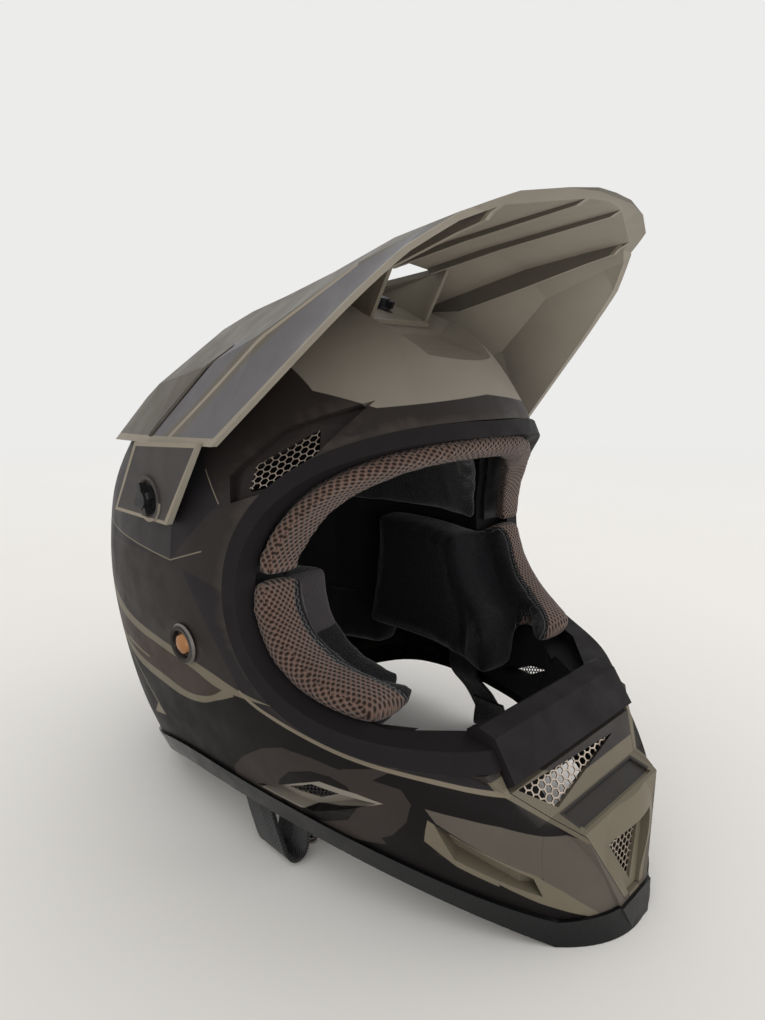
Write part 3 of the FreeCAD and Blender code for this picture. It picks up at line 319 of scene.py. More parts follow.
def shell_paint():
    """The shell's colours, laid out in millimetres by height and by distance from the head axis."""
    f = Finish("shell_paint", SHELL_BROWN, 0.5, Specular_IOR_Level=0.13)
    # The lower half of the shell is darker than the upper half.
    upper = f.curve(f.y, [(-90, 95), (-71, 97), (-48, 101.5), (-20, 105), (6, 107.5), (33, 111), (53, 116.5),
                          (80, 127), (110, 142), (150, 150)])
    lower = f.curve(f.y, [(-90, 95), (-67, 94), (-56, 94), (-35, 98.5), (-9, 101.5), (23, 104), (48, 107.5),
                          (80, 119), (110, 137), (150, 150)])
    fill_low = f.curve(f.y, [(-58, 94), (-38, 84.5), (-23, 82.5), (-6, 84), (33, 87), (54, 92), (85, 108), (112, 138)])
    line_low = f.curve(f.y, [(-70, 95), (-52, 86.5), (-37, 80.5), (-19, 78), (2, 79), (32, 81.5), (51, 86.5),
                             (85, 101), (125, 142)])
    f.cover(f.mask(f.sum("SUBTRACT", line_low, f.z)), SHELL_LOW)
    # The dark surround of the eye port and the black brow.
    front = f.any_of(
        f.all_of(f.plane("yz", (-31, 150), (-69, 100), -1), f.plane("yz", (-31, 150), (-22, 152), -1), f.below(152)),
        f.all_of(f.plane("yz", (-22, 152), (-54, 183), -1), f.above(152), f.below(183)),
        f.all_of(f.plane("yz", (-54, 183), (-42, 198), -1), f.above(183), f.below(198)),
        f.all_of(f.plane("yz", (-42, 198), (-4, 262), -1), f.above(198)))
    under = f.curve(f.y, [(-182, 70), (-172, 72.5), (-162, 75), (-149, 77.5), (-136, 79.5), (-123, 81.8),
                          (-105, 85.8), (-92, 89), (-80, 92.5), (-70, 97)])
    cheek = f.all_of(f.sum("SUBTRACT", f.z, under), f.ahead(-69), f.below(150))
    f.cover(f.mask(f.any_of(f.all_of(front, f.above(100)), cheek), 0.6), SURROUND)
    f.cover(f.mask(f.all_of(front, f.above(183)), 6.0), BROW_BLACK_AND_PAINTED_SHADE)
    # The olive panel in the middle of the brow, in a paler copy of the olive: painted light against the shade under the
    # peak.
    f.cover(f.mask(f.all_of(f.plane("xz", (0, 232.5), (57, 227)), f.plane("xz", (57, 227), (73, 234.5)),
                            f.within(73), f.ahead(-15))), OLIVE_WITH_PAINTED_LIGHT)
    # Double stripe on the side.
    stripe = f.all_of(f.sum("SUBTRACT", upper, f.z), f.sum("SUBTRACT", f.z, lower))
    second = f.all_of(f.sum("SUBTRACT", fill_low, f.z), f.sum("SUBTRACT", f.z, line_low), f.behind(-66), f.ahead(112))
    filling = f.all_of(f.sum("SUBTRACT", lower, f.z), f.sum("SUBTRACT", f.z, fill_low), f.behind(-58), f.ahead(110))
    beside = f.plane("xz", (46, 100), (66, 160), -1)
    f.cover(f.mask(f.all_of(filling, beside)), STRIPE_FILL)
    f.cover(f.mask(f.all_of(f.any_of(stripe, second), beside)), OLIVE)
    f.cover(f.mask(f.outline("yz", [(46, 93.5), (12, 90.5), (14, 89.5), (46, 91)])), OLIVE)
    # A thin line that drops behind the jaw, with a small pointed end.
    f.cover(f.mask(f.any_of(f.line("yz", (60, 90), (30, 71), 1.1), f.line("yz", (30, 71), (16, 59), 1.1),
                            f.outline("yz", [(17, 60), (29, 49), (11, 54)]))), PALE_LINE)
    # The dark panel below the peak's ear, and the lines round it.
    f.cover(f.mask(f.any_of(f.outline("yz", [(200, 300), (200, 169), (-22, 152), (-24, 240), (-8, 300)]),
                            f.outline("yz", [(-20, 240), (-22, 152), (-54, 183), (-42, 198), (-10, 250)]))), DARK_PANEL)
    for a, b in (((200, 169), (-22, 152)), ((-22, 152), (-46, 160)), ((-54, 183), (-42, 198))):
        f.cover(f.mask(f.line("yz", a, b, 0.6)), PALE_LINE)
    # The jaw's grey field with a darker round in it, and the olive frame of its vent, in a paler copy of the olive:
    # painted light against the shade in the vent's recess.
    field = f.any_of(
        f.outline("yz", [(-51, 40), (-54, 50), (-66, 61), (-81, 71), (-94, 76), (-110, 76), (-125, 74), (-140, 40),
                         (-120, 36), (-83, 36)]),
        f.outline("yz", [(-120, 60), (-122, 75), (-138, 73), (-149, 71), (-153, 65), (-151, 56), (-144, 47),
                         (-130, 38), (-112, 36)]),
        f.outline("yz", [(-120, 70), (-125, 75), (-148, 80.5), (-138, 73)]))
    f.cover(f.mask(field), JAW_GREY)
    f.cover(f.mask(f.outline("yz", [(-83, 46), (-88, 56), (-96, 64), (-109, 69), (-119, 69.5), (-127, 67), (-131, 58),
                                    (-124, 48), (-110, 41), (-97, 38), (-87, 40)])), SHELL_LOW)
    f.cover(f.mask(f.outline("yz", [(-72, 45), (-101, 59.5), (-113, 65), (-131, 64.5), (-144, 62.5), (-118, 52),
                                    (-99, 43.5)])), OLIVE_WITH_PAINTED_LIGHT)
    # The chin's side facet, its olive wedge, and the nose.
    facet = f.any_of(
        f.outline("yz", [(-158, 64), (-171, 61.5), (-183, 58.5), (-195, 53.5), (-196, 34), (-162, 58)]),
        f.outline("yz", [(-195, 53.5), (-240, 41), (-240, 3), (-222, 4), (-209, 9), (-196, 33)]))
    f.cover(f.mask(facet), FACET_GREY)
    f.cover(f.mask(f.any_of(
        f.outline("yz", [(-159, 59), (-183, 43.2), (-182, 29), (-168, 37), (-157, 48)]),
        f.outline("yz", [(-183, 43.2), (-194, 36), (-201, 27), (-211, 10.5), (-203, 14), (-194, 21), (-182, 29)]))),
            OLIVE)
    nose = f.any_of(f.outline("xz", [(0, 0), (2, 6), (32, 49), (0, 49)]),
                    f.outline("xz", [(0, 49), (32, 49), (58, 71), (61, 76), (0, 76)]))
    f.cover(f.mask(f.all_of(nose, f.ahead(-160))), OLIVE)
    # The line under the surround.
    thin = f.sum("SUBTRACT", 0.9 * MM, f.sum("ABSOLUTE", f.sum("SUBTRACT", f.z, under)))
    f.cover(f.mask(f.all_of(thin, f.ahead(-70), f.behind(-183))), PALE_LINE)
    shell_lacquer(f)
    return f.done()


def cover_paint():
    """The cover of the snout: olive, with a grey shelf and an upper panel, grey in itself, painted near-black as
    painted shade.
    """
    f = Finish("cover_paint", OLIVE, 0.5, Specular_IOR_Level=0.13)
    # The upper panel, beside and above its mesh, is grey but painted black as painted shade, as it faces up into the
    # light; the shelf is grey between olive bands.
    lean, foot = 3.2, 66.0
    past = f.sum("SUBTRACT", f.sum("MULTIPLY_ADD", f.z, lean, f.x), (lean * foot - 16.0) * MM)
    mirror = f.sum("SUBTRACT", f.sum("MULTIPLY_ADD", f.z, lean, f.sum("MULTIPLY", f.x, -1.0)),
                   (lean * foot - 60.0) * MM)
    f.cover(f.mask(f.all_of(f.behind(-193), f.above(62), past, mirror)), BROW_BLACK_AND_PAINTED_SHADE)
    f.cover(f.mask(f.all_of(f.ahead(-193.6), f.behind(-203.5), f.within(33), f.above(50))), PANEL_GREY)
    shell_lacquer(f)
    return f.done()


def peak_paint():
    """The peak: olive above, grey panels on the arms, pale edges, and an underside painted paler as painted light."""
    f = Finish("peak_paint", PEAK_TOP, 0.5, Specular_IOR_Level=0.14)
    for corners in ([(-26, 206), (-66, 206), (-150, 289), (-150, 296), (-110, 284), (-85, 265)],
                    [(5, 208), (-11, 229), (-38, 258), (-66, 257), (-56, 248), (-31, 226), (-15, 209)]):
        f.cover(f.mask(f.outline("yz", corners)), ARM_GREY)
    f.cover(f.mask(f.line("yz", (5, 209), (-34, 256), 1.8)), paint(24, 23, 24))
    # Pale edges.
    for a, b, wide in (((-67, 211), (-104, 246), 5), ((-104, 246), (-132, 273), 5), ((-132, 273), (-164, 302), 4),
                       ((74, 206), (-70, 212), 5), ((-20, 210), (-72, 259), 2.4), ((-72, 259), (-112, 286), 2.0)):
        f.cover(f.mask(f.line("yz", a, b, wide)), PEAK_EDGE)
    # The ears that the side screws hold.
    f.cover(f.mask(f.all_of(f.beyond(117.5), f.below(209))), PEAK_EDGE)
    f.cover(f.mask(f.all_of(f.outline("yz", [(-58, 210), (-1, 207), (25.5, 172.8), (-26.5, 172.8)]),
                            f.beyond(117.5))), EAR_GREY)
    # Faces turned down take the paler copy of the olive: painted light in the shade under the peak.
    facing = f.add("ShaderNodeNewGeometry").outputs["Normal"]
    down = f.vector("DOT_PRODUCT", facing, (0.0, 0.0, -1.0))
    f.cover(f.remap(down, 0.05, 0.15, 0.0, 1.0), PEAK_UNDERSIDE_PAINTED_LIGHT)
    shell_lacquer(f, 0.00003)
    return f.done()


def plastic(name, colour, rough):
    """Grained plastic, a little rubbed at its edges."""
    f = Finish(name, colour, rough, Specular_IOR_Level=0.2)
    f.mottle(0.06, 50.0)
    f.worn_edges(tuple(min(1.0, c * 1.8 + 0.02) for c in colour[:3]) + (1.0,), 0.35)
    f.rough = f.remap(f.noise(120.0, 5.0), 0.3, 0.7, rough - 0.08, rough + 0.1)
    f.raise_by(f.noise(1400.0, 2.0), 0.00003)
    return f.done()


def rubber(name, colour, rough, shine):
    """Moulded rubber with a blotchy bloom."""
    f = Finish(name, colour, rough, Specular_IOR_Level=shine)
    f.mottle(0.08, 30.0)
    f.rough = f.remap(f.noise(80.0, 6.0), 0.3, 0.7, rough - 0.08, rough + 0.14)
    f.raise_by(f.noise(500.0, 3.0), 0.00002)
    return f.done()


def metal(name, colour, rough):
    """Bare metal with fine scratches and uneven polish."""
    f = Finish(name, colour, rough, Metallic=1.0)
    f.mottle(0.05, 80.0)
    f.rough = f.remap(f.noise(300.0, 5.0), 0.3, 0.7, rough * 0.7, rough * 1.5)
    f.raise_by(f.noise(2500.0, 2.0), 0.00001)
    return f.done()


def washer_finish():
    """A blackened dish with a bright rim."""
    f = Finish("washer_steel", paint(120, 116, 112), 0.32, Metallic=1.0)
    flat = f.add("ShaderNodeCombineXYZ", 0.0, f.y, f.z).outputs[0]
    away = f.vector("LENGTH", f.vector("SUBTRACT", flat, tuple(spot(0, *RIVET))))
    f.cover(f.mask(f.sum("SUBTRACT", DISH_RADIUS * MM, away), 0.5), paint(44, 40, 38))
    f.mottle(0.05, 80.0)
    f.raise_by(f.noise(2500.0, 2.0), 0.00001)
    return f.done()


def foam_finish():
    """Expanded foam: packed beads with dark seams."""
    f = Finish("foam_beads", paint(26, 25, 28), 0.85, Specular_IOR_Level=0.25)
    beads = f.cells(330.0, "DISTANCE_TO_EDGE")
    f.cover(f.remap(beads, 0.0, 0.08, 0.6, 0.0), paint(12, 12, 13))
    f.raise_by(beads, 0.0005)
    return f.done()


def knit_finish(name, colour, shade):
    """Brushed knitted lining: fine loops, lint and soft sheen."""
    f = Finish(name, colour, 0.92, Specular_IOR_Level=0.15, Sheen_Weight=0.35, Sheen_Roughness=0.5)
    loops = f.cells(KNIT_SCALE)
    f.cover(f.remap(loops, 0.2, 0.7, 0.0, 0.7), shade)
    f.mottle(0.12, 60.0)
    f.raise_by(loops, -0.0004)
    return f.done()


def spacer_finish():
    """Three-dimensional spacer mesh: staggered holes in a pale net over a dark ground, and plain knit past a seam."""
    f = Finish("spacer_mesh", paint(108, 87, 78), 0.85, Specular_IOR_Level=0.2, Sheen_Weight=0.2, Sheen_Roughness=0.4)
    flat = f.add("ShaderNodeUVMap", uv_map="weave").outputs[0]
    wobble = f.add("ShaderNodeTexNoise", f.place)
    wobble.inputs["Scale"].default_value = 120.0
    shift = f.vector("SCALE", wobble.outputs[1])
    shift.node.inputs["Scale"].default_value = 0.0006
    flat = f.vector("ADD", flat, shift)
    holes = f.vector("DIVIDE", flat, SPACER_PITCH)
    half = (0.5, 0.5, 0.0)
    gaps = []
    for offset in ((0.0, 0.0, 0.0), half):
        moved = f.vector("FRACTION", f.vector("ADD", holes, offset))
        gaps.append(f.vector("LENGTH", f.vector("MULTIPLY", f.vector("SUBTRACT", moved, half), SPACER_STRETCH)))
    gap = f.sum("MINIMUM", *gaps)
    f.cover(f.remap(gap, 0.2, 0.34, 1.0, 0.0), paint(38, 27, 22))
    strands = f.noise(1600.0, 2.0)
    f.cover(f.sum("MULTIPLY", f.remap(strands, 0.4, 0.65, 0.0, 0.5), f.remap(gap, 0.3, 0.4, 0.0, 1.0)),
            paint(126, 103, 92))
    f.mottle(0.1, 40.0)
    # Away from the opening the pad is plain black knit, beyond a sewn seam.
    edge = f.add("ShaderNodeAttribute", attribute_name="from_edge").outputs["Fac"]
    knit = f.remap(edge, 0.0, 0.0008, 0.0, 1.0)
    loops = f.cells(KNIT_SCALE)
    f.cover(knit, f.mixed(f.remap(loops, 0.2, 0.7, 0.0, 0.7), paint(24, 22, 26), paint(12, 11, 14)))
    patch = f.mask(f.all_of(f.outline("yz", [(-84, 152), (-62, 152), (-60, 118), (-82, 114)]),
                            f.sum("MULTIPLY", f.x, -1.0), f.sum("SUBTRACT", edge, 0.002)), 0.5)
    f.cover(patch, paint(62, 58, 60))
    seam = f.remap(f.sum("ABSOLUTE", edge), 0.0008, 0.0014, 1.0, 0.0)
    f.cover(seam, paint(16, 15, 17))
    net = f.mixed(knit, f.remap(gap, 0.15, 0.42, 0.0, 1.0), f.sum("MULTIPLY", loops, -0.4))
    f.raise_by(f.sum("SUBTRACT", net, seam), 0.0009)
    return f.done()


def webbing_finish():
    """Black twill webbing: slanting ribs with a fine cross weave."""
    f = Finish("webbing_black", paint(30, 29, 31), 0.72, Specular_IOR_Level=0.3, Sheen_Weight=0.2)
    flat = f.add("ShaderNodeUVMap", uv_map="weave").outputs[0]
    split = f.add("ShaderNodeSeparateXYZ", flat)
    along, across = split.outputs[0], split.outputs[1]
    ribs = f.sum("PINGPONG", f.sum("MULTIPLY_ADD", f.sum("ABSOLUTE", across), 1.0, along), RIB)
    ribs = f.remap(ribs, 0.0, RIB, 0.0, 1.0)
    cross = f.remap(f.sum("PINGPONG", across, CROSS_RIB), 0.0, CROSS_RIB, 0.0, 1.0)
    relief = f.sum("MULTIPLY_ADD", cross, 0.4, ribs)
    f.cover(f.remap(relief, 0.1, 0.8, 0.7, 0.0), paint(13, 13, 14))
    f.mottle(0.12, 60.0)
    f.raise_by(relief, 0.0004)
    return f.done()


finishes = {
    "shell": shell_paint(),
    "cover": cover_paint(),
    "peak": peak_paint(),
    "bracket": plastic("bracket_plastic", paint(112, 106, 94), 0.5),
    "steel_mesh": metal("steel_mesh", paint(176, 163, 150), 0.45),
    "rim": rubber("rim_rubber", paint(12, 13, 15), 0.28, 0.3),
    "surround": rubber("surround_rubber", paint(33, 30, 32), 0.6, 0.1),
    "black_mesh": metal("black_mesh", paint(70, 68, 68), 0.45),
    "foam": foam_finish(),
    "knit": knit_finish("lining_black", paint(33, 32, 37), paint(19, 18, 22)),
    "spacer": spacer_finish(),
    "webbing": webbing_finish(),
    "knob": plastic("knob_plastic", paint(30, 29, 31), 0.4),
    "black": plastic("black_plastic", paint(28, 27, 29), 0.42),
    "washer": washer_finish(),
    "brass": metal("rivet_brass", paint(168, 122, 84), 0.3),
    "chrome": metal("bright_steel", paint(176, 170, 166), 0.22),
}

dress = {
    "outer_shell": "shell", "mouth_vent_cover": "cover", "base_trim": "rim", "eyeport_trim": "surround",
    "impact_liner": "foam", "chin_bar_foam": "foam", "port_inner_strip": "black", "peak_visor": "peak",
    "peak_bracket": "bracket", "centre_screw": "knob", "d_ring_inner": "chrome", "d_ring_outer": "chrome",
    "peak_nuts": "black", "peak_grommets": "black", "strap_rivets": "brass", "rivet_washers": "washer",
    "strap_anchors": "chrome", "side_screw_right": "knob", "side_screw_left": "knob",
    "crown_liner": "knit", "neck_roll": "knit", "cheek_pad_right": "knit", "cheek_pad_left": "knit",
    "brow_pad": "spacer", "cheek_roll_right": "spacer", "cheek_roll_left": "spacer",
    "strap_right": "webbing", "strap_left": "webbing",
}

for name, node in nodes.items():
    finish = finishes[dress.get(name, "steel_mesh")]
    for slot in node.material_slots:
        slot.material = finish

# ---------------------------------------------------------------- wire meshes


WIRE_THICKNESS = 0.0006
WIRE_ROUNDING = 0.00012
HEXAGON = [(math.cos(math.radians(30 + 60 * i)), math.sin(math.radians(30 + 60 * i))) for i in range(6)]
MICRON = 1e-6


def outline_of(points):
    """The convex outline of flat points, in order."""
    ordered = sorted(map(tuple, points))

    def chain(sequence):
        line = []
        for p in sequence:
            while len(line) > 1 and ((line[-1][0] - line[-2][0]) * (p[1] - line[-2][1])
                                     - (line[-1][1] - line[-2][1]) * (p[0] - line[-2][0])) <= 0:
                line.pop()
            line.append(p)
        return line

    return chain(ordered)[:-1] + chain(ordered[::-1])[:-1]


def honeycomb(reach, pitch, wire, stretch):
    """Flat rings of wire round hexagonal holes, out to reach."""
    form = bmesh.new()
    corners = {}

    def corner(a, b):
        key = (round(a / MICRON), round(b / MICRON))
        if key not in corners:
            corners[key] = form.verts.new((a, b, 0))
        return corners[key]

    size = pitch / math.sqrt(3)
    share = 1 - wire / (size * math.sqrt(3))
    count = int(reach / pitch) + 2
    for row in range(-2 * count, 2 * count + 1):
        for column in range(-count, count + 1):
            a = (column + 0.5 * (row % 2)) * pitch * stretch
            b = row * size * 1.5
            if abs(a) > reach + pitch * stretch or abs(b) > reach + pitch:
                continue
            outer = [corner(a + c * size * stretch, b + s * size) for c, s in HEXAGON]
            inner = [form.verts.new((a + c * size * stretch * share, b + s * size * share, 0)) for c, s in HEXAGON]
            for i in range(6):
                j = (i + 1) % 6
                form.faces.new((outer[i], outer[j], inner[j], inner[i]))
    return form


def wire_mesh(node_name, pitch, wire, stretch, finish):
    """A fine pressed wire mesh of hexagons in the place of a CAD mesh sheet."""
    points = coordinates(nodes[node_name])
    middle = points.mean(0)
    across, up, _ = np.linalg.svd(points - middle, full_matrices=False)[2]
    edge = outline_of(np.stack([(points - middle) @ across, (points - middle) @ up], 1))
    form = honeycomb(max(math.hypot(*p) for p in edge), pitch, wire, stretch)
    for (a0, b0), (a1, b1) in zip(edge, edge[1:] + edge[:1]):
        bmesh.ops.bisect_plane(form, geom=form.verts[:] + form.edges[:] + form.faces[:], dist=1e-7,
                               plane_co=(a0, b0, 0), plane_no=(b1 - b0, a0 - a1, 0), clear_outer=True)
    mesh = mesh_from(form, node_name + "_wire")
    turn = Matrix((across, up, np.cross(across, up))).transposed().to_4x4()
    mesh.transform(Matrix.Translation(Vector(middle)) @ turn)
    piece = add_object(node_name + "_wire", mesh)
    thick = piece.modifiers.new("wire", "SOLIDIFY")
    thick.thickness = WIRE_THICKNESS
    thick.offset = 0.0
    round_off = piece.modifiers.new("round", "BEVEL")
    round_off.width = WIRE_ROUNDING
    round_off.segments = 1
    apply_modifiers(piece)
    piece.data.materials.append(finishes[finish])
    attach(piece, "helmet")
    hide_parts(node_name)


# Pitch and wire width in metres, stretch and finish, by the start of the node's name.
MESHES = {
    "brow_vent_mesh": (0.0028, 0.00034, 1.5, "steel_mesh"),
    "mouth_mesh_upper": (0.0036, 0.0006, 1.4, "steel_mesh"),
    "mouth_mesh_lower": (0.0029, 0.0005, 1.3, "steel_mesh"),
    "rear_vent_mesh": (0.0032, 0.0004, 1.4, "steel_mesh"),
    "slot_vent_mesh": (0.0030, 0.0007, 1.2, "steel_mesh"),
    "jaw_vent_mesh": (0.0022, 0.0006, 1.1, "black_mesh"),
}
for name in sorted(nodes):
    for start, settings in MESHES.items():
        if name.startswith(start):
            wire_mesh(name, *settings)

# ---------------------------------------------------------------- soft pieces

CLOTH_FRAMES = 20
CLOTH_PRESSURE = 3.0
SWELL_LIMIT = 0.0015
GAP_CLOSING = 0.003
CLOSING_VOXEL = 0.0028
ROLL_SHARE = 0.66
ROLL_PIVOT = (0.006, -0.004)
PORT_CENTRE = spot(0, -110, 150)
PORT_EDGE = [(-131, 213), (-108, 205), (-86, 189), (-72, 165), (-70, 140), (-79, 117), (-102, 99), (-140, 89.5)]
SPACER_DEPTH = 29.5
SPACER_REACH = 34


def duplicate(node_name, name):
    """A new object with a copy of a CAD node's mesh, welded."""
    mesh = nodes[node_name].data.copy()
    piece = add_object(name, mesh)
    form = bmesh.new()
    form.from_mesh(mesh)
    bmesh.ops.remove_doubles(form, verts=form.verts, dist=10 * MICRON)
    form.to_mesh(mesh)
    form.free()
    return piece


def rounded(piece, voxel, smoothing):
    """An even mesh over the piece, its edges softened."""
    remesh = piece.modifiers.new("even", "REMESH")
    remesh.mode = "VOXEL"
    remesh.voxel_size = voxel
    smooth = piece.modifiers.new("soft", "SMOOTH")
    smooth.iterations = smoothing
    apply_modifiers(piece)


def inflate(piece, pressure, limit):
    """Swells the piece like stuffed cloth, no point moving further than limit."""
    before = coordinates(piece)
    cloth = piece.modifiers.new("cloth", "CLOTH")
    cloth.settings.use_pressure = True
    cloth.settings.uniform_pressure_force = pressure
    cloth.settings.effector_weights.gravity = 0.0
    cloth.settings.quality = 4
    cloth.point_cache.frame_start = 1
    cloth.point_cache.frame_end = CLOTH_FRAMES
    scene = bpy.context.scene
    for step in range(1, CLOTH_FRAMES + 1):
        scene.frame_set(step)
    apply_modifiers(piece)
    scene.frame_set(1)
    shift = coordinates(piece) - before
    length = np.linalg.norm(shift, axis=1)
    keep = np.minimum(1.0, limit / np.maximum(length, 1e-9))
    move_to(piece, before + shift * keep[:, None])


def finish_soft(piece, node_names, finish):
    """Gives a soft piece its finish, hangs it on the helmet and hides the nodes it stands in for."""
    for polygon in piece.data.polygons:
        polygon.use_smooth = True
    piece.data.materials.clear()
    piece.data.materials.append(finishes[finish])
    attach(piece, "helmet")
    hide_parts(*node_names)
    extra = piece.modifiers.new("smooth", "SUBSURF")
    extra.levels = extra.render_levels = 1


def smooth_path(points, steps=8):
    """A Catmull-Rom line through points."""
    p = [points[0]] + points + [points[-1]]
    line = []
    for a, b, c, d in zip(p, p[1:], p[2:], p[3:]):
        for i in range(steps):
            t = i / steps
            line.append(0.5 * ((2 * b) + (c - a) * t + (2 * a - 5 * b + 4 * c - d) * t ** 2
                               + (3 * b - a - 3 * c + d) * t ** 3))
    return line + [points[-1]]


def shell_tree():
    """The shell's surface, for distances to it."""
    form = bmesh.new()
    form.from_mesh(nodes["outer_shell"].data)
    tree = BVHTree.FromBMesh(form)
    form.free()
    return tree


def lay_weave(piece, along, across_in, across_out, facing_in, seam):
    """Weave coordinates, by faces that look inwards or forwards, and the distance past the seam."""
    weave = piece.data.uv_layers.new(name="weave")
    for polygon in piece.data.polygons:
        flat = facing_in(polygon)
        for loop, vertex in zip(polygon.loop_indices, polygon.vertices):
            weave.data[loop].uv = (along[vertex], across_in[vertex] if flat else across_out[vertex])
    past = piece.data.attributes.new("from_edge", "FLOAT", "POINT")
    past.data.foreach_set("value", np.asarray(seam, dtype=np.float32))


def weave_cheek(piece):
    """The net follows the edge of the face opening; further inside, the pad is plain knit."""
    points = coordinates(piece)
    line = smooth_path([spot(0, y, z) for y, z in PORT_EDGE])
    edge = np.array([[p.y, p.z] for p in line])
    side_view = points[:, 1:]
    steps = np.concatenate([[0], np.cumsum(np.linalg.norm(np.diff(edge, axis=0), axis=1))])
    best = np.full(len(points), 9.0)
    along = np.zeros(len(points))
    for i, (a, b) in enumerate(zip(edge, edge[1:])):
        run = b - a
        share = np.clip(((side_view - a) @ run) / max(run @ run, 1e-12), 0, 1)
        away = np.linalg.norm(side_view - a - share[:, None] * run, axis=1)
        nearer = away < best
        best[nearer] = away[nearer]
        along[nearer] = (steps[i] + share * np.linalg.norm(run))[nearer]
    tree = shell_tree()
    depth = np.array([tree.find_nearest(Vector(p))[3] for p in points])
    seam = np.maximum(depth - SPACER_DEPTH * MM, best - SPACER_REACH * MM)
    lay_weave(piece, along, best, points[:, 0], lambda polygon: abs(polygon.normal.x) > 0.6, seam)


def round_opening(points, slices):
    """For a roll round the face opening: angles, the middle line, and each point's middle and way outwards."""
    angle = np.arctan2(points[:, 0] - PORT_CENTRE.x, points[:, 2] - PORT_CENTRE.z)
    edges = np.linspace(angle.min(), angle.max(), slices + 1)
    middles, centres = [], []
    for a, b in zip(edges, edges[1:]):
        chosen = (angle >= a) & (angle <= b)
        if chosen.any():
            middles.append((a + b) / 2)
            centres.append(points[chosen].mean(0))
    centres = np.array(centres)
    centre = np.stack([np.interp(angle, middles, centres[:, i]) for i in range(3)], 1)
    outward = centre - np.array([PORT_CENTRE.x, 0, PORT_CENTRE.z])
    outward[:, 1] = 0
    outward /= np.linalg.norm(outward, axis=1)[:, None]
    return angle, middles, centres, centre, outward


def weave_round(piece):
    """Lays weave coordinates along and across a roll that runs round the face opening."""
    points = coordinates(piece)
    angle, middles, centres, centre, outward = round_opening(points, 40)
    steps = np.concatenate([[0], np.cumsum(np.linalg.norm(np.diff(centres, axis=0), axis=1))])
    along = np.interp(angle, middles, steps)
    offset = points - centre
    out = (offset * outward).sum(1)
    lay_weave(piece, along, offset[:, 1], out,
              lambda polygon: abs(polygon.normal.dot(Vector(outward[polygon.vertices[0]]))) > abs(polygon.normal.y),
              np.full(len(points), -1.0))


def slimmer(piece):
    """Draws a roll's section together towards its front edge at the opening."""
    points = coordinates(piece)
    centre, outward = round_opening(points, 60)[3:]
    pivot = centre + outward * ROLL_PIVOT[0] + np.array([0, ROLL_PIVOT[1], 0])
    move_to(piece, pivot + (points - pivot) * ROLL_SHARE)


def merged(node_names, name):
    """One piece over several CAD nodes, the narrow gaps between them closed."""
    parts = [duplicate(n, name) for n in node_names]
    form = bmesh.new()
    for part in parts:
        form.from_mesh(part.data)
    form.to_mesh(parts[0].data)
    form.free()
    for part in parts[1:]:
        bpy.data.objects.remove(part)
    piece = parts[0]
    for grow in (GAP_CLOSING, -GAP_CLOSING):
        if grow < 0:
            rounded(piece, CLOSING_VOXEL, 4)
        swell = piece.modifiers.new("grow", "DISPLACE")
        swell.strength = grow
        swell.mid_level = 0.0
        apply_modifiers(piece)
    return piece


# The nodes replaced, the piece's name, its finish and slot, the voxel size in metres and how full it is.
soft_pieces = [
    (("brow_pad",), "brow_roll", "spacer", "spacer_fabric", 0.0025, 0.7),
    (("cheek_roll_right", "cheek_pad_right"), "cheek_cushion_right", "spacer", "spacer_fabric", 0.003, 0.7),
    (("cheek_roll_left", "cheek_pad_left"), "cheek_cushion_left", "spacer", "spacer_fabric", 0.003, 0.7),
    (("crown_liner",), "crown_lining", "knit", "liner_fabric", 0.005, 0.4),
    (("neck_roll",), "neck_cushion", "knit", "liner_fabric", 0.005, 0.6),
]
for node_names, name, finish, slot, voxel, fill in soft_pieces:
    piece = duplicate(node_names[0], name) if len(node_names) == 1 else merged(node_names, name)
    rounded(piece, voxel, 30 if len(node_names) > 1 else 12)
    inflate(piece, CLOTH_PRESSURE, SWELL_LIMIT)
    if name == "brow_roll":
        slimmer(piece)
        weave_round(piece)
    elif finish == "spacer":
        weave_cheek(piece)
    finish_soft(piece, node_names, finish)

# ---------------------------------------------------------------- straps

STRAP_WIDTH = 0.0246
STRAP_THICKNESS = 0.0021
CAD_STRAP_HALF = 0.0125
INNER_STATIONS = [(-31, 126), (-33, 95), (-36, 78), (-38, 62), (-42, 48), (-46, 36)]


def ribbon(name, points, node_name):
    """A woven strap along a path, flat along y, with rounded selvedges."""
    line = smooth_path(points)
    half = STRAP_WIDTH / 2
    face = [(-half + 0.0006, 0.5), (-half + 0.0016, 0.42), (-half * 0.4, 0.45), (half * 0.4, 0.45),
            (half - 0.0016, 0.42), (half - 0.0006, 0.5)]
    section = [(-half, 0)] + face + [(half, 0)] + [(w, -t) for w, t in face[::-1]]
    form = bmesh.new()
    weave = form.loops.layers.uv.new("weave")
    rings, lengths, far = [], [], 0.0
    for i, here in enumerate(line):
        run = line[min(i + 1, len(line) - 1)] - line[max(i - 1, 0)]
        out = Vector((-run.z, 0, run.x)).normalized()
        far += (here - line[i - 1]).length if i else 0.0
        lengths.append(far)
        rings.append([form.verts.new(here + Vector((0, w, 0)) + out * (t * STRAP_THICKNESS)) for w, t in section])
    count = len(section)
    for i, (near, next_ring) in enumerate(zip(rings, rings[1:])):
        for j in range(count):
            k = (j + 1) % count
            side = form.faces.new((near[j], near[k], next_ring[k], next_ring[j]))
            side.smooth = True
            for loop, (step, place) in zip(side.loops, ((i, j), (i, k), (i + 1, k), (i + 1, j))):
                loop[weave].uv = (lengths[step], section[place][0])
    form.faces.new(rings[0][::-1])
    form.faces.new(rings[-1])
    bmesh.ops.recalc_face_normals(form, faces=form.faces[:])
    piece = add_object(name, mesh_from(form, name))
    piece.data.materials.append(finishes["webbing"])
    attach(piece, "helmet")
    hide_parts(node_name)


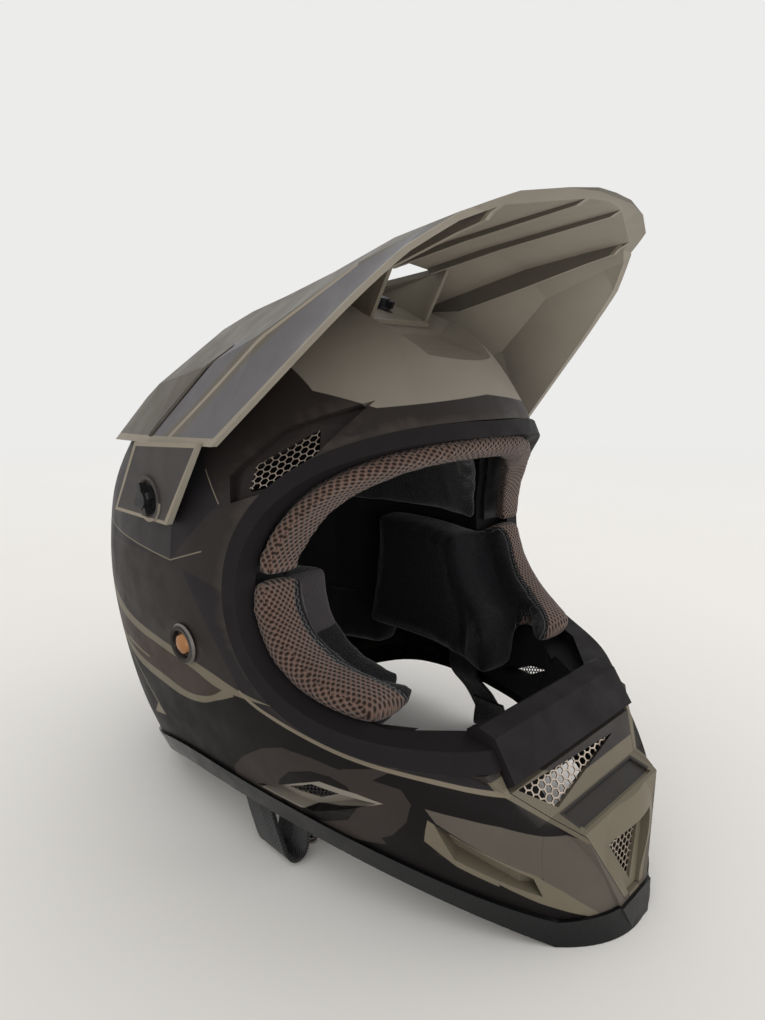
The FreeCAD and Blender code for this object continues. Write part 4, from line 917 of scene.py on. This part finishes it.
def inner_run(node_name):
    """The strap's places inside the shell, read off its CAD solid."""
    points = coordinates(nodes[node_name])
    places = []
    for y, z in INNER_STATIONS:
        middle = spot(0, y, z)
        edge = np.array([middle.y + CAD_STRAP_HALF, middle.z])
        close = points[np.linalg.norm(points[:, 1:] - edge, axis=1) < 0.003]
        if len(close):
            places.append(Vector((float(close[:, 0].mean()), middle.y, middle.z)))
    return places


HANGING = [(92.5, -56, 24), (93.5, -64, 13), (93, -68, 6), (90.5, -70, 2.9), (87, -70.5, 2.5), (84, -71, 5.2),
           (83.1, -72, 12)]
RING_LOOP = [(82.7, -73, 20), (80.9, -73, 25.6), (78.6, -73, 27.3), (74.1, -73, 27.4), (71.6, -73, 26),
             (71.3, -73, 23.2), (73.6, -73, 21.7), (77.4, -73, 21.6), (80.0, -73, 21.9)]
FREE_END = [(82.9, -73, 20), (80.8, -73, 26.2)]
for side_name, side in SIDES.items():
    tail = HANGING + (RING_LOOP if side < 0 else FREE_END)
    path = inner_run("strap_" + side_name) + [spot(side * x, y, z) for x, y, z in tail]
    ribbon("chin_strap_" + side_name, path, "strap_" + side_name)

# ---------------------------------------------------------------- stage, light and camera


BACKDROP = paint(236, 236, 235)
FLOOR_REACH = 12.0
FLOOR_BLEND = (0.7, 2.4)


def area_light(name, place, aim, size, power):
    lamp = bpy.data.lights.new(name, "AREA")
    lamp.shape = "RECTANGLE"
    lamp.size, lamp.size_y = size
    lamp.energy = power
    holder = add_object(name, lamp)
    holder.location = place
    holder.rotation_mode = "QUATERNION"
    holder.rotation_quaternion = (Vector(aim) - Vector(place)).to_track_quat("-Z", "Y")


def build_floor():
    """A pale floor, unbroken to the horizon."""
    f = Finish("studio_floor", paint(243, 241, 238), 0.7, Specular_IOR_Level=0.2)
    f.mottle(0.01, 3.0)
    f.raise_by(f.noise(900.0, 2.0), 0.00002)
    f.done()
    # Far from the object the floor takes on the backdrop's colour, so that no horizon shows.
    far = f.remap(f.vector("LENGTH", f.place), *FLOOR_BLEND, 0.0, 1.0)
    path = f.add("ShaderNodeLightPath")
    seen = f.sum("MAXIMUM", path.outputs["Is Camera Ray"], f.sum("MAXIMUM", path.outputs["Is Glossy Ray"],
                                                                 path.outputs["Is Transmission Ray"]))
    glow = f.add("ShaderNodeEmission", BACKDROP, 1.0)
    both = f.add("ShaderNodeMixShader", f.sum("MULTIPLY", far, seen), f.shader.outputs[0], glow.outputs[0])
    f.tree.links.new(both.outputs[0], f.tree.nodes["Material Output"].inputs[0])
    form = bmesh.new()
    bmesh.ops.create_grid(form, x_segments=8, y_segments=8, size=FLOOR_REACH)
    floor = add_object("studio_floor", mesh_from(form, "studio_floor"))
    floor.location = (0, 0, cad_box[0].z - 0.0002)
    floor.data.materials.append(f.material)


def build_world():
    """Even studio light; the camera, and what metal mirrors, sees a pale backdrop."""
    world = bpy.data.worlds.new("studio")
    bpy.context.scene.world = world
    world.use_nodes = True
    tree = world.node_tree
    lit = tree.nodes["Background"]
    lit.inputs["Color"].default_value = (1.0, 0.99, 0.97, 1)
    lit.inputs["Strength"].default_value = 0.85
    seen = tree.nodes.new("ShaderNodeBackground")
    seen.inputs["Color"].default_value = BACKDROP
    seen.inputs["Strength"].default_value = 1.0
    path = tree.nodes.new("ShaderNodeLightPath")
    either = tree.nodes.new("ShaderNodeMath")
    either.operation = "MAXIMUM"
    tree.links.new(path.outputs["Is Camera Ray"], either.inputs[0])
    through = tree.nodes.new("ShaderNodeMath")
    through.operation = "MAXIMUM"
    tree.links.new(path.outputs["Is Transmission Ray"], through.inputs[0])
    tree.links.new(path.outputs["Is Glossy Ray"], through.inputs[1])
    tree.links.new(through.outputs[0], either.inputs[1])
    mix = tree.nodes.new("ShaderNodeMixShader")
    tree.links.new(either.outputs[0], mix.inputs[0])
    tree.links.new(lit.outputs[0], mix.inputs[1])
    tree.links.new(seen.outputs[0], mix.inputs[2])
    tree.links.new(mix.outputs[0], tree.nodes["World Output"].inputs[0])


build_floor()
build_world()
area_light("back_window", (0.9, 1.5, 1.5), (0, 0, 0.18), (1.8, 1.4), 4)
area_light("front_window", (-0.5, -1.9, 0.22), (0, 0, 0.2), (2.4, 1.0), 9)
area_light("right_window", (1.6, -1.1, 0.5), (0, 0, 0.2), (1.2, 1.2), 4)

# The camera stands close off the wearer's front right, a little above the middle, and looks slightly down.
CAMERA_PLACE = (-0.2710, -0.2892, 0.2396)
CAMERA_TILT = 79.11
CAMERA_ROLL = -0.10
CAMERA_HEADING = -44.71
CAMERA_LENS = 23.98

camera_data = bpy.data.cameras.new("camera")
camera_data.sensor_width = 36.0
camera_data.lens = CAMERA_LENS
camera_data.clip_start = 0.01
camera_data.clip_end = 60.0
camera = add_object("camera", camera_data)
turn = Euler([math.radians(angle) for angle in (CAMERA_TILT, CAMERA_ROLL, CAMERA_HEADING)])
camera.matrix_world = Matrix.LocRotScale(Vector(CAMERA_PLACE), turn, None)
bpy.context.scene.camera = camera
bpy.context.scene.view_settings.view_transform = "Standard"
